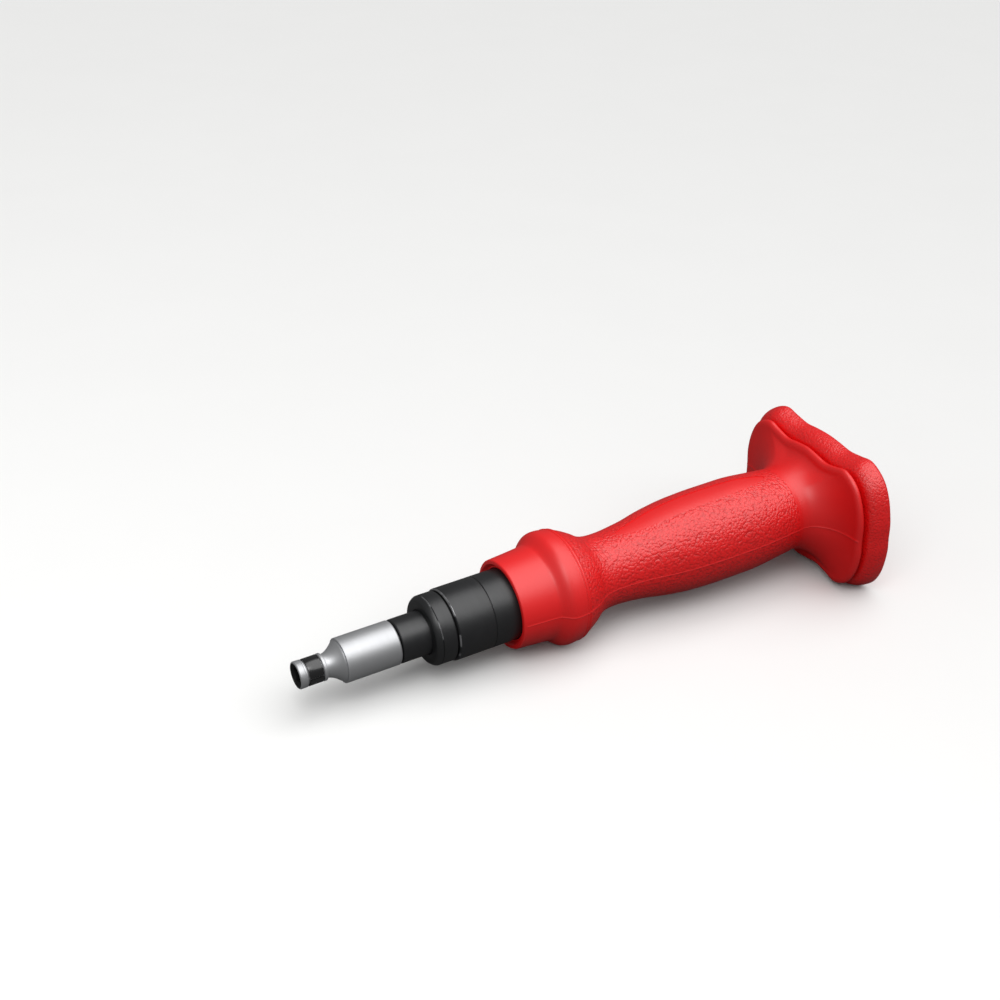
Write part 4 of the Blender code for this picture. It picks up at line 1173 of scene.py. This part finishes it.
# The frame's own nodes that stay, each with its finish
KEPT_NODES = {
    "bright_ground_steel": (
        "lock_pin", "spring_guide", "thrust_washer", "collar_pin", "drive_pin",
        "drive_detent_ball", "bit_detent_ball",
    ),
    "drawn_spring_wire": ("retaining_ring",),
    "scaled_forged_steel": ("cam_sleeve",),
    "nitrile_rubber": ("body_seal", "neck_seal"),
    "nickel_plated_magnet": ("bit_magnet",),
}


class DRIVER_OT_inner_parts(Operator):
    """Gives the inner parts of the frame their finishes"""

    bl_idname = "impact_driver.inner_parts"
    bl_label = "Inner Parts"

    def execute(self, context):
        for finish, names in KEPT_NODES.items():
            for name in names:
                dress(NODES[name], finish)
        return {"FINISHED"}


# ---- Studio

# The camera's axes and place, from the photograph's perspective
CAMERA_ROWS = (
    (-0.8682, -0.2757, 0.4126, 0.4979),
    (0.4957, -0.4430, 0.7470, 0.5566),
    (-0.0232, 0.8531, 0.5213, 0.4421),
    (0.0, 0.0, 0.0, 1.0),
)


def lamp(name, place, target, width, height, power):
    """A soft lamp that faces the target."""
    start()
    bpy.ops.object.light_add(type="AREA", location=place)
    light = bpy.context.object
    light.name = light.data.name = name
    light.data.shape = "RECTANGLE"
    light.data.size = width
    light.data.size_y = height
    light.data.energy = power
    light.rotation_euler = (Vector(target) - Vector(place)).to_track_quat("-Z", "Y").to_euler()
    return light


class DRIVER_OT_stage(Operator):
    """Adds the floor, the lamps and the camera"""

    bl_idname = "impact_driver.stage"
    bl_label = "Studio"

    def execute(self, context):
        colours = context.scene.driver_colours
        floor = primitive("plane", size=60)
        floor.name = "studio_floor"
        # The tool rests on two lobes of its guard and on the thumb ridge
        lobe, ridge = Vector((16.0, 0, -33.45)) * MM, Vector((165.0, 0, -26.45)) * MM
        slope = (ridge.z - lobe.z) / (ridge.x - lobe.x)
        for corner in floor.data.vertices:
            corner.co.z = lobe.z + (corner.co.x - lobe.x) * slope
        finish, tree, shader, place = new_finish("pale_floor")
        # Only the camera sees the floor pale: to the tool it is darker, so undersides stay deep
        pale = shaded(tree, place, colours.floor, 0.004, 60.0)
        seen = add(tree, "LightPath").outputs["Is Camera Ray"]
        tones = {0: seen, 6: rgba(colours.floor_bounce), 7: pale}
        base = add(tree, "Mix", tones, data_type="RGBA").outputs[2]
        feed(tree, shader, {"Base Color": base, "Roughness": 0.9, "Specular IOR Level": 0.0})
        floor.data.materials.append(finish)

        world = bpy.data.worlds.new("studio")
        context.scene.world = world
        world.use_nodes = True
        tree = world.node_tree
        tree.nodes.clear()
        # Faint soft light from all round, fainter in reflections, and white behind the floor
        path = add(tree, "LightPath").outputs
        either = {0: path["Is Camera Ray"], 1: path["Is Transmission Ray"]}
        white = add(tree, "Math", either, operation="MAXIMUM").outputs[0]
        strength = 0.26
        for share, level in ((path["Is Glossy Ray"], 0.15), (white, 1.0)):
            levels = {"Factor": share, "A": strength, "B": level}
            strength = add(tree, "Mix", levels).outputs["Result"]
        sky = add(tree, "Background", {"Color": (1, 1, 1, 1), "Strength": strength})
        add(tree, "OutputWorld", {"Surface": sky.outputs[0]})

        middle = (0.14, 0.0, 0.0)
        start()
        bpy.ops.object.light_add(type="SUN")
        key = bpy.context.object
        key.name = key.data.name = "key_lamp"
        key.data.energy = 2.15
        key.data.angle = math.radians(76)
        key.rotation_euler = Vector((-0.4, 0.22, 0.89)).to_track_quat("Z", "Y").to_euler()
        # The fill only lifts the shaded sides; a small lamp in front gives the metal its light
        fill = lamp("fill_lamp", (0.95, 0.25, 0.52), middle, 1.4, 1.0, 1.6)
        fill.visible_glossy = False
        lamp("front_lamp", (0.6, 0.5, 0.85), middle, 0.6, 0.6, 3.4)

        start()
        bpy.ops.object.camera_add()
        camera = bpy.context.object
        camera.matrix_world = Matrix(CAMERA_ROWS)
        camera.data.lens = 63.29
        camera.data.sensor_width = 36.0
        camera.data.clip_start = 0.01
        context.scene.camera = camera
        context.scene.view_settings.view_transform = "Standard"
        return {"FINISHED"}


PIECES = (
    DRIVER_OT_striking_head,
    DRIVER_OT_guard_pad,
    DRIVER_OT_hand_grip,
    DRIVER_OT_housing,
    DRIVER_OT_collar,
    DRIVER_OT_spindle,
    DRIVER_OT_bit_holder,
    DRIVER_OT_springs,
    DRIVER_OT_inner_parts,
    DRIVER_OT_stage,
)


class DRIVER_PT_panel(Panel):
    """Lists the driver's pieces with their sizes and colours"""

    bl_idname = "DRIVER_PT_panel"
    bl_label = "Hand Impact Driver"
    bl_space_type = "VIEW_3D"
    bl_region_type = "UI"
    bl_category = "Impact Driver"

    def draw(self, context):
        column = self.layout.column(align=True)
        for piece in PIECES:
            column.operator(piece.bl_idname)
        for group in GROUPS:
            box = self.layout.box()
            settings = getattr(context.scene, group)
            for name in settings.__annotations__:
                box.prop(settings, name)


GROUPS = {"driver_grip": GripSizes, "driver_steel": SteelSizes, "driver_colours": Colours}
CLASSES = (*GROUPS.values(), *PIECES, DRIVER_PT_panel)


def register():
    for item in CLASSES:
        bpy.utils.register_class(item)
    for name, group in GROUPS.items():
        setattr(bpy.types.Scene, name, PointerProperty(type=group))


def unregister():
    for name in GROUPS:
        delattr(bpy.types.Scene, name)
    for item in reversed(CLASSES):
        bpy.utils.unregister_class(item)


def main():
    register()
    for piece in PIECES:
        category, name = piece.bl_idname.split(".")
        getattr(getattr(bpy.ops, category), name)()
    start()


if __name__ == "__main__":
    main()
